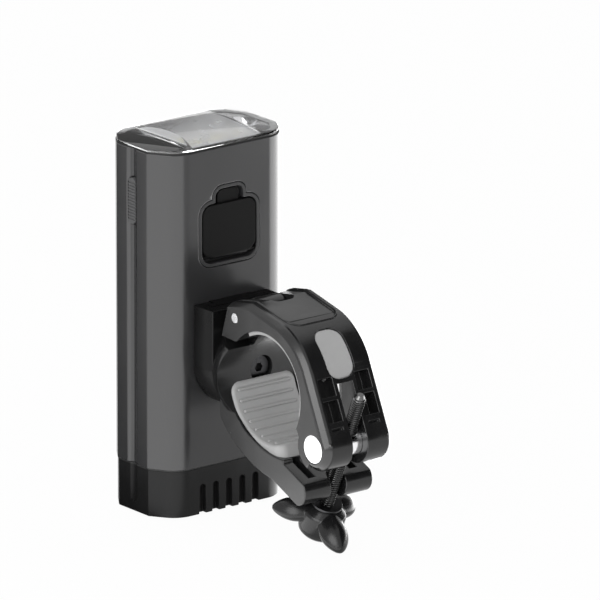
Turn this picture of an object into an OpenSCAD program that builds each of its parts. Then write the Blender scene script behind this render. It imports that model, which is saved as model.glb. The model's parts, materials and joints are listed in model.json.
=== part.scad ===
// Bicycle headlight with a two-cell battery body, on a hinged handlebar clamp.
// The handlebar axis is X, the clamp holds the lamp towards +Y, the beam leaves along +Z.

/* [Handlebar clamp] */
// Diameter of the handlebar that the clamp holds
bar_diameter = 31.8; // [25:0.1:35]
// Width of the clamp along the handlebar
clamp_width = 24.5; // [22:0.5:30]
// Thickness of the rubber liner inside the upper arm
liner_thickness = 1.1; // [0.8:0.1:2]
// Step from the outside of the arm in to the liner's plug
plug_step = 0.2; // [0:0.1:0.6]
// Thickness of the upper arm around the bar
arm_thickness = 5.1; // [4:0.1:7]
// Slanted edge along the outside of the upper arm
arm_bevel = 1.8; // [0.4:0.1:2.4]
// Hinge axis from the bar axis, towards the lamp
hinge_out = 13.85; // [12:0.05:16]
// Hinge axis from the bar axis, along the beam
hinge_up = 18; // [17:0.1:21]
// Diameter of the hinge pin
pin_diameter = 3; // [2:0.1:4]
// Outside diameter of the jaw's hinge knuckle
knuckle_diameter = 9; // [7:0.1:10]
// Width of the jaw's hinge knuckle along the pin
knuckle_width = 8.2; // [6:0.2:12]
// Barrel nut axis from the bar axis, away from the lamp
barrel_out = 22.5; // [20:0.1:26]
// Barrel nut axis from the bar axis, against the beam
barrel_down = 12.3; // [10:0.1:15]
// Diameter of the barrel nut
barrel_diameter = 8.3; // [7:0.1:10]
// Plastic around the barrel nut
boss_wall = 2.6; // [1.8:0.1:4]
// Radius of the long inner curve of the lower jaw
jaw_curve_radius = 27.9; // [25:0.1:32]
// Middle of that curve from the bar axis, away from the lamp
jaw_curve_out = 6.8; // [6:0.1:7.6]
// Middle of that curve from the bar axis, along the beam
jaw_curve_up = 8.9; // [8.2:0.1:9.6]
// Thickness of the lower jaw behind its pad
jaw_thickness = 7; // [5:0.1:9]
// Height of the ribs on the rubber pad of the lower jaw
pad_rib = 0.4; // [0.2:0.05:0.6]
// Number of ribs on the rubber pad
pad_rib_count = 8; // [4:1:8]
// Angle from one rib of the pad to the next, in degrees
pad_rib_step = 11.5; // [9:0.5:12]
// Distance of the pad's ends in from the sides of the jaw
pad_margin = 0.8; // [0.4:0.1:2]
// Width of the arm's window for the liner's plug
window_width = 9.6; // [6:0.1:11]
// Corner radius of that window
window_corner = 3.8; // [1:0.1:4.5]
// Width of the shallow panel on top of the arm
panel_width = 17.8; // [12:0.1:19]
// Corner radius of that panel
panel_corner = 4; // [1:0.1:5]
// Depth of the shallow panel on top of the arm
panel_depth = 0.5; // [0.2:0.1:0.8]
// Width of a pocket in the arm's cheeks
pocket_width = 5; // [3:0.1:5.5]
// Depth of a pocket in the arm's cheeks
pocket_depth = 4.6; // [2:0.1:5]

/* [Clamp screw and knob] */
// Lean of the clamp screw away from the beam direction, in degrees
screw_lean = 23.1; // [10:0.1:35]
// Thread diameter of the clamp screw
screw_diameter = 4; // [3:0.1:5]
// Distance from one thread turn to the next
thread_pitch = 0.7; // [0.5:0.05:1]
// Length of thread that stands out above the barrel nut
thread_reach = 17; // [12:0.5:18]
// Underside of the jaw's fork, below the barrel nut
fork_drop = 20; // [17:0.1:22]
// Thickness of the fork along the screw
fork_thickness = 7.6; // [4:0.1:8]
// Reach of the fork past the screw axis
fork_lip = 3; // [1:0.1:4]
// Radius of the fork's round end
fork_round = 4.2; // [3.6:0.1:6]
// Width of the two pockets in the fork
fork_pocket = 2.6; // [1.5:0.1:3]
// Gap under the fork when the screw is slack
slack_gap = 2.2; // [2:0.1:4]
// Diameter of the thrust washer
washer_diameter = 9; // [7:0.1:12]
// Thickness of the thrust washer
washer_thickness = 0.8; // [0.5:0.1:1.5]
// Diameter of the knob's hub
hub_diameter = 14; // [11:0.1:16]
// Height of the knob's hub
hub_height = 10.5; // [8:0.1:14]
// Distance from the screw axis to the tip of a knob lobe
lobe_reach = 14.8; // [12:0.1:18]
// Width of a knob lobe
lobe_width = 8.4; // [5:0.1:9]
// Thickness of a knob lobe
lobe_thickness = 6; // [4:0.1:8]
// Droop of a knob lobe, in degrees
lobe_droop = 14; // [0:1:35]
// Turn of the knob at rest, in degrees
lobe_turn = 17; // [0:1:119]

/* [Lamp swivel] */
// Face on which the lamp swivels, from the bar axis
swivel_face = 22.6; // [21:0.1:26]
// Diameter of the jaw's round seat at the bar
seat_diameter = 32; // [28:0.1:36]
// Diameter of the jaw's round seat at the swivel face
neck_diameter = 26.8; // [22:0.1:30]
// Thread diameter of the swivel screw
swivel_screw_diameter = 4; // [3:0.1:5]
// Head diameter of the swivel screw
swivel_head_diameter = 7; // [5.5:0.1:8]
// Head height of the swivel screw
swivel_head_height = 2.4; // [2:0.1:3]
// Plastic under the head of the swivel screw
swivel_floor = 2; // [1.5:0.1:3]
// Width across the flats of the swivel nut
nut_width = 7; // [5.5:0.1:8]
// Thickness of the swivel nut
nut_thickness = 2.2; // [1.8:0.1:2.4]
// Width of the cradle that carries the lamp
cradle_width = 26.5; // [24:0.1:30]
// Top of the cradle above the swivel axis
cradle_top = 18; // [14:0.1:22]
// Thickness of the cradle's floor
cradle_floor = 3.9; // [3:0.1:5]
// Width of the rail's narrow part
rail_neck_width = 15; // [12:0.1:18]
// Width of the rail's wide part
rail_head_width = 20; // [18:0.1:22]
// Thickness of the rail's wide part
rail_head_depth = 2.5; // [2:0.1:3.5]
// Foot of the rail below the swivel axis
rail_foot = 7; // [5:0.1:7.4]
// Diameter of the rail screws
rail_screw_diameter = 2.5; // [2:0.1:3]
// Head height of the rail screws
rail_screw_head = 1.4; // [1:0.1:1.6]

/* [Lamp body] */
// Distance of the lamp's face from the bar axis
lamp_distance = 31.8; // [30:0.1:36]
// Width of the lamp
lamp_width = 47.8; // [46:0.1:56]
// Depth of the lamp from face to back
lamp_depth = 30; // [28:0.1:36]
// Width of the flat part of the lamp's face
face_flat = 28.3; // [26:0.1:32]
// Radius that leads from the flat face into the slanted corner
corner_radius = 8.3; // [6:0.1:10]
// Slant of the corners, in degrees from the face
corner_slant = 56; // [45:1:62]
// Wall thickness of the lamp's shell
shell_wall = 2.2; // [1.6:0.1:3]
// Height of the lens seam above the swivel axis
lens_seam = 63.2; // [60:0.1:75]
// Depth of the end cap's seam below the swivel axis
cap_seam = 32; // [30:0.1:36]
// Height of the end cap
cap_height = 13.9; // [9:0.1:16]
// Step from the shell in to the end cap
cap_step = 0.35; // [0.1:0.05:0.8]
// Wall thickness of the end cap
cap_wall = 2.6; // [2:0.1:4]
// Wall of the end cap's spigot, which stands inside the shell
spigot_wall = 1.5; // [1:0.1:1.6]
// Height of the end cap's spigot inside the shell
spigot_height = 3; // [2:0.1:4]
// Width of the round groove along each side
groove_width = 4.4; // [3.6:0.1:6]
// Depth of the round groove along each side
groove_depth = 0.9; // [0.5:0.1:1.4]
// Number of slots in the face of the end cap
slot_count = 5; // [3:1:6]
// Distance from one slot to the next
slot_pitch = 4.8; // [4:0.1:6]
// Width of a slot
slot_width = 2.3; // [1.5:0.1:3]
// Height of a slot
slot_height = 9; // [6:0.1:11]
// Depth of a slot
slot_depth = 1.5; // [0.8:0.1:2]
// Thickness of the seals under the lens and at the end cap
seal_thickness = 0.5; // [0.4:0.1:1.2]
// Distance of the seals in from the outside of the shell
seal_step = 0.5; // [0.2:0.1:1]
// Diameter of the end cap screws
cap_screw_diameter = 2.5; // [2:0.1:3]
// Head diameter of the end cap screws
cap_screw_head = 4.4; // [3.6:0.1:5]
// Length of the screw posts inside the shell
post_length = 10; // [8:0.5:14]

/* [Lens and light] */
// Height of the lens at its edge
lens_edge = 0.5; // [0.4:0.1:3]
// Height of the lens crown above its edge
lens_crown = 2.3; // [1.2:0.1:3]
// Width of the raised middle of the lens along its ridge
lens_ridge = 20.5; // [14:0.5:24]
// Width of the raised middle of the lens at its foot
lens_foot = 27; // [25:0.5:32]
// Rise of the lens ends towards the raised middle
lens_end_rise = 0.5; // [0.2:0.1:0.8]
// Step from the shell in to the lens
lens_step = 0.3; // [0.1:0.05:0.8]
// Depth of the reflector
reflector_depth = 4.5; // [3:0.1:6]
// Length of the reflector's middle trough
trough_length = 21.6; // [18:0.1:22]
// Width of the reflector's middle trough at its mouth
trough_width = 20; // [16:0.1:22]
// Width of the reflector's middle trough at the light board
trough_floor = 5.2; // [4.5:0.1:7]
// Distance of the outer bowls from the middle of the reflector
bowl_place = 16.2; // [16:0.1:16.6]
// Radius of the outer bowls at their mouth
bowl_radius = 5; // [4:0.1:5]
// Thickness of the light board
light_board = 1.2; // [0.8:0.1:2]
// Thickness of the heat sink's plate
sink_plate = 1.7; // [1.2:0.1:3]
// Length of the heat sink's fins
sink_fin = 5; // [3:0.1:6]
// Thickness of a fin of the heat sink
fin_thickness = 1.6; // [1:0.1:2.4]
// Distance from one fin of the heat sink to the next
fin_pitch = 4.4; // [3:0.1:5]
// Width of a light emitter
emitter_width = 3.5; // [2.5:0.1:4]
// Distance from one inner emitter to the next
emitter_pitch = 7.2; // [5:0.1:8]

/* [Battery and electronics] */
// Diameter of a battery cell
cell_diameter = 18.4; // [18:0.1:18.6]
// Length of a battery cell
cell_length = 65; // [60:0.5:66]
// Lower end of the cells below the swivel axis
cell_foot = 32.5; // [31:0.1:34]
// Thickness of the battery holder's plates
holder_plate = 1.5; // [1:0.1:2.5]
// Width of the strips that join those plates
holder_strip = 3; // [2:0.1:3.4]
// Thickness of the circuit board
circuit_board = 1.2; // [0.8:0.1:1.6]
// Distance of the circuit board behind the lamp's face
board_behind = 10; // [9.4:0.1:11]
// Height of the circuit board
board_height = 15.5; // [14:0.1:17]
// Width of the circuit board
board_width = 36; // [32:0.5:37]
// Width of the charge socket
charge_width = 9; // [8.5:0.1:9.5]
// Height of the charge socket
charge_height = 3.3; // [3:0.1:3.6]
// Width of the supply socket
supply_width = 13.2; // [12.5:0.1:14]
// Height of the supply socket
supply_height = 5.8; // [5.2:0.1:6.2]
// Wall thickness of the sockets
socket_wall = 0.4; // [0.3:0.1:0.5]

/* [Port cover] */
// Width of the port cover
cover_width = 19; // [16:0.1:22]
// Height of the port cover
cover_height = 17; // [15:0.1:19]
// Thickness of the port cover
cover_thickness = 1.8; // [1.2:0.1:2]
// Lower edge of the port cover above the swivel axis
cover_foot = 29.4; // [28:0.1:32]
// Corner radius of the port cover
cover_corner = 3; // [1.5:0.1:4]
// Gap around the port cover
cover_gap = 0.4; // [0.3:0.05:1]
// Rim of the port frame around the cover
frame_rim = 1.2; // [1:0.1:3]
// Thickness of the port frame behind the cover
frame_floor = 1.4; // [1:0.1:2]
// Width of the finger tab on the cover
tab_width = 7.6; // [5:0.1:10]
// Height of the finger tab above the cover
tab_height = 4; // [3:0.1:7]
// Corner radius of the finger tab
tab_corner = 1.8; // [1:0.1:2.4]
// Step from the cover's face back to the finger tab
tab_step = 0.7; // [0.3:0.1:1]
// Finger room on each side of the tab
tab_gap = 1.2; // [0.6:0.1:2]
// Reach of the port frame's flange behind the shell
frame_flange = 1; // [0.6:0.1:1.5]
// Diameter of the cover's hinge stubs
stub_diameter = 1.2; // [0.8:0.1:1.6]
// Length of the cover's hinge stubs
stub_length = 0.8; // [0.5:0.1:0.9]
// Height of the hinge stubs above the lower edge of the cover
stub_rise = 0.6; // [0.4:0.1:1]

/* [Power button] */
// Middle of the power button above the swivel axis
button_middle = 47.5; // [44:0.1:50]
// Length of the power button along the beam
button_length = 13.8; // [10:0.1:16]
// Width of the power button
button_width = 3.4; // [2.6:0.1:4]
// Height of the power button above the floor of its groove
button_rise = 0.9; // [0.5:0.1:1.5]
// Travel of the power button
button_travel = 0.8; // [0.4:0.1:1.2]
// Thickness of the flange that keeps the button in
button_flange = 1; // [0.8:0.1:1.5]
// Distance from one rib of the button to the next
button_rib_pitch = 0.9; // [0.8:0.05:1]
// Width of the cuts between the button's ribs
button_rib_cut = 0.4; // [0.2:0.05:0.6]

/* [Fits] */
// Gap around a pin that turns
turning_gap = 0.05; // [0.01:0.01:0.1]
// Gap beside pieces that slide
sliding_gap = 0.3; // [0.1:0.05:0.5]
// Gap around a fixed screw or a piece set into another
fixed_gap = 0.1; // [0.05:0.05:0.3]

/* [Hidden] */
bar_radius = bar_diameter / 2;
ring_radius = bar_radius + liner_thickness;
arm_radius = ring_radius + arm_thickness;
boss_radius = barrel_diameter / 2 + boss_wall;
half_clamp = clamp_width / 2;
jaw_centre = [-jaw_curve_out, jaw_curve_up];
barrel_reach = norm([barrel_out, barrel_down]);
barrel_angle = 180 + atan2(barrel_down, barrel_out);
web_angle = barrel_angle - acos((arm_radius - boss_radius) / barrel_reach);
web_ring = arm_radius * [cos(web_angle), sin(web_angle)];
web_boss = [-barrel_out, -barrel_down] + boss_radius * [cos(web_angle), sin(web_angle)];
web_length = norm(web_boss - web_ring);
washer_drop = fork_drop + slack_gap;
hub_drop = washer_drop + washer_thickness;
slot_clear = screw_diameter / 2 + 0.7;
tip_radius = norm([thread_reach, screw_diameter / 2]) + 0.4;
channel_top = barrel_angle
    - acos((arm_radius * arm_radius + barrel_reach * barrel_reach - tip_radius * tip_radius)
           / (2 * arm_radius * barrel_reach));
window_span = 41;
window_middle = channel_top - 3 - window_span / 2;
window_half = arm_radius * sin(window_span / 2);
panel_front = arm_radius * cos(113);
hump_angle = 105.8;
hump = [arm_radius * [cos(hump_angle), sin(hump_angle)], [7.1, hinge_up + 6.1],
    [hinge_out + 1.4, hinge_up + 4.6]];
arm_ends = [48, 200];
liner_ends = [62, 196];
pad_ends = [-112, -8];
pad_rib_first = 16;
channel_end = 262;
knuckle_in = hinge_out - knuckle_diameter / 2;
knuckle_out = hinge_out + knuckle_diameter / 2;
ear_inside = knuckle_width / 2 + sliding_gap;
ear_room = 9.5;
cradle_back = lamp_distance - sliding_gap;
cradle_front = swivel_face;
head_face = cradle_front + cradle_floor + sliding_gap;
head_back = head_face + rail_head_depth;
half_depth = lamp_depth / 2;
half_width = lamp_width / 2;
half_flat = face_flat / 2;
middle = lamp_distance + half_depth;
groove_radius = (groove_width * groove_width / 4 + groove_depth * groove_depth) / (2 * groove_depth);
groove_floor = half_width - groove_depth;
shell_low = -cap_seam + seal_thickness;
cap_low = -cap_seam - cap_height;
lens_low = lens_seam + seal_thickness;
reflector_low = lens_seam - reflector_depth;
light_low = reflector_low - light_board;
sink_low = light_low - sink_plate;
cell_top = cell_length - cell_foot;
board_low = cell_top + holder_plate;
board_face = lamp_distance + board_behind;
supply_middle = board_low + 3.6;
charge_middle = board_low + 9.4;
inner_side = half_width - shell_wall;
screw_post_x = half_flat + 3.2;
screw_post_y = half_depth - 6;
post_radius = cap_screw_head / 2 + 0.5;
cap_screw_sink = 0.2;
cap_head_height = 1.8;
spigot_inside = shell_wall + fixed_gap + spigot_wall;
spigot_top = shell_low + spigot_height;
rib_radius = 0.5;
frame_width = cover_width + 2 * cover_gap + 2 * frame_rim;
frame_low = cover_foot - cover_gap - frame_rim;
frame_top = cover_foot + cover_height + cover_gap + frame_rim;
tab_top = cover_foot + cover_height + tab_height;
hollow_corner = tab_corner + 0.6;
pocket_back = lamp_distance + cover_thickness + cover_gap;
frame_back = pocket_back + frame_floor;
cover_axis_y = lamp_distance + cover_thickness / 2;
cover_axis_z = cover_foot + cover_thickness / 2 + stub_rise;
button_face = -groove_floor - button_rise;
flange_half = button_width / 2 + 0.9;
flange_length = button_length + 1.6;
far = 60;
smooth = 96;
small = 48;

// Outline helpers: a rod along X, a rod along Y and a profile drawn in Y and Z
module rod_x(radius, length) {
    rotate([0, 90, 0]) cylinder(r = radius, h = length, center = true, $fn = smooth);
}

module rod_y(radius, from, to) {
    translate([0, from, 0]) rotate([-90, 0, 0]) cylinder(r = radius, h = to - from, $fn = smooth);
}

module profile_x(width) {
    rotate([90, 0, 90]) linear_extrude(height = width, center = true) children();
}

// Block along Y with four round corners
module round_block(width, low, high, corner, from, to) {
    for (x = [-1, 1], z = [low + corner, high - corner])
        translate([x * (width / 2 - corner), 0, z]) rod_y(corner, from, to);
    translate([-width / 2, from, low + corner]) cube([width, to - from, high - low - 2 * corner]);
    translate([corner - width / 2, from, low]) cube([width - 2 * corner, to - from, high - low]);
}

module at_hinge() {
    translate([0, hinge_out, hinge_up]) children();
}

module at_barrel() {
    translate([0, -barrel_out, -barrel_down]) rotate([screw_lean, 0, 0]) children();
}

// Half-plane sector about the bar axis, from one angle to another
module sector(from, to, reach) {
    third = (to - from) / 3;
    polygon([[0, 0], reach * [cos(from), sin(from)], 1.2 * reach * [cos(from + third), sin(from + third)],
        1.2 * reach * [cos(to - third), sin(to - third)], reach * [cos(to), sin(to)]]);
}

// Lamp section: flat face and back, rounded into slanted corners, flat sides
function arc_x(inset) = half_flat + (corner_radius - inset) * sin(corner_slant);
function arc_y(inset) = half_depth - corner_radius + (corner_radius - inset) * cos(corner_slant);
function side_x(inset) = half_width - inset;
function side_y(inset) = arc_y(inset) - (side_x(inset) - arc_x(inset)) * tan(corner_slant);
function quarter(inset) = [[half_flat, half_depth - inset], [arc_x(inset), arc_y(inset)],
    [side_x(inset), side_y(inset)]];
function section(inset) = let (q = quarter(inset)) [
    q[0], q[1], q[2],
    [q[2][0], -q[2][1]], [q[1][0], -q[1][1]], [q[0][0], -q[0][1]],
    [-q[0][0], -q[0][1]], [-q[1][0], -q[1][1]], [-q[2][0], -q[2][1]],
    [-q[2][0], q[2][1]], [-q[1][0], q[1][1]], [-q[0][0], q[0][1]]];

module lamp_prism(inset, low, high) {
    translate([0, middle, low]) {
        linear_extrude(height = high - low) polygon(section(inset));
        for (x = [-half_flat, half_flat], y = [corner_radius - half_depth, half_depth - corner_radius])
            translate([x, y, 0]) cylinder(r = corner_radius - inset, h = high - low, $fn = smooth);
    }
}

module side_grooves(low, high) {
    for (side = [-1, 1])
        translate([side * (groove_floor + groove_radius), middle, low])
            cylinder(r = groove_radius, h = high - low, $fn = smooth);
}

// Hollow of the lower jaw: the round seat, and the longer curve below it
module jaw_hollow() {
    circle(r = ring_radius, $fn = smooth);
    intersection() {
        translate(jaw_centre) circle(r = jaw_curve_radius, $fn = smooth);
        sector(-178, -35, far);
    }
}

// The curved lower part of the jaw with its fork, before it is cut to the clamp's width
module jaw_tongue() {
    profile_x(2 * clamp_width) intersection() {
        translate(jaw_centre) circle(r = jaw_curve_radius + jaw_thickness, $fn = smooth);
        polygon([[swivel_face - 2.2, -6], [swivel_face - 2.2, -40], [-9, -40], [-9, -10], [0, -6]]);
    }
    at_barrel() difference() {
        translate([-1.5 * clamp_width, -fork_lip - 0.5, -fork_drop])
            cube([3 * clamp_width, 17.7 + fork_lip, fork_thickness]);
        // Round end of the fork
        difference() {
            translate([-2 * clamp_width, -fork_lip - 1, -fork_drop - 1])
                cube([4 * clamp_width, 1 + fork_round, fork_thickness + 2]);
            translate([0, fork_round - fork_lip, fork_thickness / 2 - fork_drop])
                rod_x(fork_round, 5 * clamp_width);
        }
    }
}

module lower_jaw() {
    color([0.16, 0.16, 0.17])
    difference() {
        union() {
            rod_y(seat_diameter / 2, knuckle_in, ring_radius);
            translate([0, ring_radius, 0]) rotate([-90, 0, 0])
                cylinder(r1 = seat_diameter / 2, r2 = neck_diameter / 2, h = swivel_face - ring_radius,
                    $fn = smooth);
            at_hinge() rod_x(knuckle_diameter / 2, knuckle_width);
            profile_x(knuckle_width)
                polygon([[knuckle_in, hinge_up], [knuckle_out, hinge_up], [swivel_face - 2, 10],
                    [swivel_face - 2, 0], [10, 0], [knuckle_in, 12]]);
            intersection() {
                jaw_tongue();
                cube([clamp_width, 2 * far, 2 * far], center = true);
            }
        }
        profile_x(3 * clamp_width) jaw_hollow();
        for (side = [-1, 1])
            translate([side * (ear_inside - 0.1 + half_clamp), hinge_out, hinge_up])
                rod_x(ear_room, clamp_width);
        at_hinge() rod_x(pin_diameter / 2, clamp_width);
        rod_y(swivel_screw_diameter / 2 + turning_gap, 0, swivel_face + 1);
        rod_y(swivel_head_diameter / 2 + 0.5, 0, swivel_face - swivel_floor);
        at_barrel() {
            translate([0, 0, -fork_drop - 1]) cylinder(r = slot_clear, h = fork_thickness + 2, $fn = small);
            translate([-slot_clear, -fork_lip - 5, -fork_drop - 1])
                cube([2 * slot_clear, fork_lip + 5, fork_thickness + 2]);
            for (side = [-1, 1])
                translate([(side * (half_clamp + slot_clear) - fork_pocket) / 2, 1.6,
                    fork_thickness - fork_drop - 2.6])
                    cube([fork_pocket, 9, 6]);
        }
    }
}

module jaw_pad() {
    color([0.62, 0.62, 0.62]) {
        difference() {
            profile_x(clamp_width - 2 * pad_margin) intersection() {
                jaw_hollow();
                sector(pad_ends[0], pad_ends[1], far);
                translate(jaw_centre) circle(r = jaw_curve_radius, $fn = smooth);
            }
            rod_x(bar_radius + pad_rib, 2 * clamp_width);
        }
        for (i = [0:pad_rib_count - 1])
            rotate([-pad_rib_first - pad_rib_step * i, 0, 0]) translate([0, bar_radius + rib_radius, 0])
                rod_x(rib_radius, clamp_width - 2 * pad_margin - 3);
    }
}

module hinge_pin() {
    color([0.85, 0.85, 0.86]) at_hinge() rod_x(pin_diameter / 2, clamp_width - 0.2);
}

// Rise of the arm towards its hinge, with the ear round the pin
module arm_hump() {
    polygon(concat(hump, [[hinge_out + 2.8, hinge_up + 3.9], [hinge_out + 6, hinge_up - 6.6],
        [hinge_out, hinge_up - 6.9], [4, 14], [-6, 14]]));
}

// The arm before its cuts: the ring, the boss of the barrel nut, the web between them and the hump
module arm_block() {
    difference() {
        union() {
            profile_x(clamp_width) intersection() {
                circle(r = arm_radius, $fn = smooth);
                sector(arm_ends[0], arm_ends[1], far);
            }
            translate([0, -barrel_out, -barrel_down]) rod_x(boss_radius, clamp_width);
            profile_x(clamp_width)
                polygon([web_ring, web_boss, [-barrel_out, -barrel_down], [-16.3, -10.4], [-12, -3],
                    [-12, 6]]);
            profile_x(clamp_width) arm_hump();
        }
        rod_x(ring_radius, 2 * clamp_width);
    }
}

// Frame that runs down the outer face of the arm: y out of the face, z from the ring to the barrel nut
module at_web() {
    translate([0, web_ring[0], web_ring[1]]) rotate([web_angle, 0, 0]) children();
}

// Wedge that takes the edge off the outside of the arm, drawn for an outer face at the given radius
module bevel_wedge(radius) {
    polygon([[radius - arm_bevel - 1, half_clamp + 1], [radius + 2, half_clamp + 1],
        [radius + 2, half_clamp - arm_bevel - 2]]);
}

// The same wedge along a straight outer face from one point to another, a little deeper than on round faces
module bevel_line(from, to) {
    way = to - from;
    past = 2;
    sink = 0.05;
    translate([0, from[0], from[1]]) rotate([atan2(-way[0], way[1]), 0, 0]) mirror([1, -1, 0])
        translate([0, 0, -past]) linear_extrude(height = norm(way) + 2 * past) bevel_wedge(-sink);
}

module bevel_side() {
    bevel_line(hump[2], hump[1]);
    bevel_line(hump[1], hump[0]);
    bevel_line(web_ring, web_boss);
    intersection() {
        rotate([0, 90, 0]) rotate_extrude($fn = smooth) bevel_wedge(arm_radius);
        profile_x(2 * clamp_width) sector(hump_angle, web_angle, far);
    }
    translate([0, -barrel_out, -barrel_down]) intersection() {
        rotate([0, 90, 0]) rotate_extrude($fn = smooth) bevel_wedge(boss_radius);
        profile_x(2 * clamp_width) sector(web_angle, 290, far);
    }
}

// The liner's window, or its plug where an inset is given
module window_block(inset) {
    rotate([window_middle, 0, 0])
        round_block(window_width - 2 * inset, inset - window_half, window_half - inset, window_corner - inset,
            ring_radius - 4, far);
}

module upper_arm() {
    color([0.18, 0.18, 0.19])
    difference() {
        arm_block();
        // Slanted outer edges
        bevel_side();
        mirror([1, 0, 0]) bevel_side();
        // Shallow panel on top, round at its front corners
        difference() {
            rotate([90, 0, 0]) round_block(panel_width, -far, -panel_front, panel_corner, bar_radius, far);
            rod_x(arm_radius - panel_depth, 2 * clamp_width);
            translate([0, 0, -panel_depth]) profile_x(2 * clamp_width) arm_hump();
        }
        // Pockets in the two cheeks, with a rib across, and a slit below them
        for (side = [-1, 1])
            at_web() translate([side * (half_clamp - arm_bevel + slot_clear) / 2, 0, 0]) {
                translate([-pocket_width / 2, -pocket_depth, 2]) cube([pocket_width, 10, 5.4]);
                translate([-pocket_width / 2, -pocket_depth, 8.6]) cube([pocket_width, 10, 6.2]);
                translate([0.6 - pocket_width / 2, -1, 16.6]) cube([pocket_width - 1.2, 10, 0.8]);
            }
        // Hinge slot for the jaw's knuckle
        translate([-ear_inside, hinge_out - 5.4, 0]) cube([2 * ear_inside, 20, 40]);
        at_hinge() rod_x(pin_diameter / 2 + turning_gap, 2 * clamp_width);
        // Bore of the barrel nut
        translate([0, -barrel_out, -barrel_down])
            rod_x(barrel_diameter / 2 + turning_gap, 2 * clamp_width);
        // Channel in which the clamp screw swings
        profile_x(2 * slot_clear) sector(channel_top, channel_end, far);
        window_block(0);
    }
}

module arm_liner() {
    color([0.66, 0.66, 0.66])
    difference() {
        union() {
            profile_x(clamp_width - 1) intersection() {
                circle(r = ring_radius, $fn = smooth);
                sector(liner_ends[0], liner_ends[1], far);
            }
            intersection() {
                rod_x(arm_radius - plug_step, 2 * clamp_width);
                window_block(turning_gap);
            }
        }
        rod_x(bar_radius, 2 * clamp_width);
        profile_x(2 * slot_clear) sector(channel_top, channel_end, far);
    }
}

module barrel_nut() {
    color([0.86, 0.86, 0.87])
    difference() {
        translate([0, -barrel_out, -barrel_down]) rod_x(barrel_diameter / 2, clamp_width - 0.2);
        at_barrel() translate([0, 0, -barrel_diameter]) cylinder(r = screw_diameter / 2 + turning_gap,
            h = 2 * barrel_diameter, $fn = small);
    }
}

module thrust_washer() {
    color([0.8, 0.8, 0.8])
    at_barrel() translate([0, 0, -hub_drop]) difference() {
        cylinder(r = washer_diameter / 2, h = washer_thickness, $fn = smooth);
        translate([0, 0, -1])
            cylinder(r = screw_diameter / 2 + turning_gap, h = washer_thickness + 2, $fn = small);
    }
}

module clamp_screw() {
    turns = floor((thread_reach + hub_drop) / thread_pitch) - 2;
    root = screw_diameter / 2 - 0.6 * thread_pitch;
    crest = screw_diameter / 2;
    rings = [for (i = [0:turns], k = [0:1])
        k == 0 ? [crest, thread_reach - 0.7 - (i + 0.2) * thread_pitch]
               : [root, thread_reach - 0.7 - (i + 0.7) * thread_pitch]];
    low = -hub_drop - hub_height + 3;
    color([0.72, 0.72, 0.73])
    at_barrel() rotate_extrude($fn = small)
        polygon(concat([[0, low], [0, thread_reach], [root, thread_reach]], rings,
            [[crest, -hub_drop], [crest, low]]));
}

module knob() {
    color([0.12, 0.12, 0.13])
    at_barrel() difference() {
        union() {
            translate([0, 0, -hub_drop - hub_height])
                cylinder(r = hub_diameter / 2, h = hub_height - 2, $fn = smooth);
            translate([0, 0, -hub_drop - 2])
                cylinder(r1 = hub_diameter / 2, r2 = washer_diameter / 2, h = 2, $fn = smooth);
            for (turn = [0, 120, 240])
                rotate([0, 0, lobe_turn + turn]) translate([hub_diameter / 2 - 2, 0, -hub_drop - 3.4])
                    rotate([0, lobe_droop, 0]) {
                        length = (lobe_reach - hub_diameter / 2 + 2) / cos(lobe_droop) - lobe_width / 2;
                        translate([-1, -lobe_width / 2, -lobe_thickness / 2])
                            cube([length + 1, lobe_width, lobe_thickness]);
                        translate([length, 0, -lobe_thickness / 2])
                            cylinder(r = lobe_width / 2, h = lobe_thickness, $fn = small);
                    }
        }
        translate([0, 0, 3 - hub_drop - hub_height])
            cylinder(r = screw_diameter / 2, h = hub_height, $fn = small);
    }
}

module swivel_screw() {
    seat = swivel_face - swivel_floor;
    color([0.2, 0.2, 0.21])
    difference() {
        union() {
            rod_y(swivel_head_diameter / 2, seat - swivel_head_height, seat);
            rod_y(swivel_screw_diameter / 2, seat - 1, cradle_front + cradle_floor);
        }
        translate([0, seat - swivel_head_height - 1, 0]) rotate([-90, 0, 0])
            cylinder(r = swivel_screw_diameter * 0.36, h = 2.4, $fn = 6);
    }
}

module swivel_nut() {
    color([0.75, 0.75, 0.76])
    difference() {
        translate([0, cradle_front + cradle_floor - nut_thickness, 0]) rotate([-90, 0, 0])
            cylinder(r = nut_width / 2 / cos(30), h = nut_thickness, $fn = 6);
        rod_y(swivel_screw_diameter / 2, 0, far);
    }
}

module cradle() {
    color([0.14, 0.14, 0.15])
    difference() {
        union() {
            rod_y(cradle_width / 2, cradle_front, cradle_back);
            translate([-cradle_width / 2, cradle_front, 0])
                cube([cradle_width, cradle_back - cradle_front, cradle_top]);
        }
        // Slot for the rail: wide inside, narrow at the lips, open at the top
        translate([-rail_head_width / 2 - sliding_gap, cradle_front + cradle_floor, -rail_foot])
            cube([rail_head_width + 2 * sliding_gap,
                head_back + sliding_gap - cradle_front - cradle_floor, far]);
        translate([-rail_neck_width / 2 - sliding_gap, cradle_front + cradle_floor, -rail_foot])
            cube([rail_neck_width + 2 * sliding_gap, 20, far]);
        // Seat of the nut and hole of the swivel screw
        translate([0, cradle_front + cradle_floor - nut_thickness, 0]) rotate([-90, 0, 0])
            cylinder(r = (nut_width / 2 + fixed_gap) / cos(30), h = nut_thickness + 1, $fn = 6);
        rod_y(swivel_screw_diameter / 2 + fixed_gap, 0, far);
    }
}

module rail_screw_places() {
    for (x = [-rail_neck_width / 3, rail_neck_width / 3], z = [3 - rail_foot, cradle_top - 4])
        translate([x, 0, z]) children();
}

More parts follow.
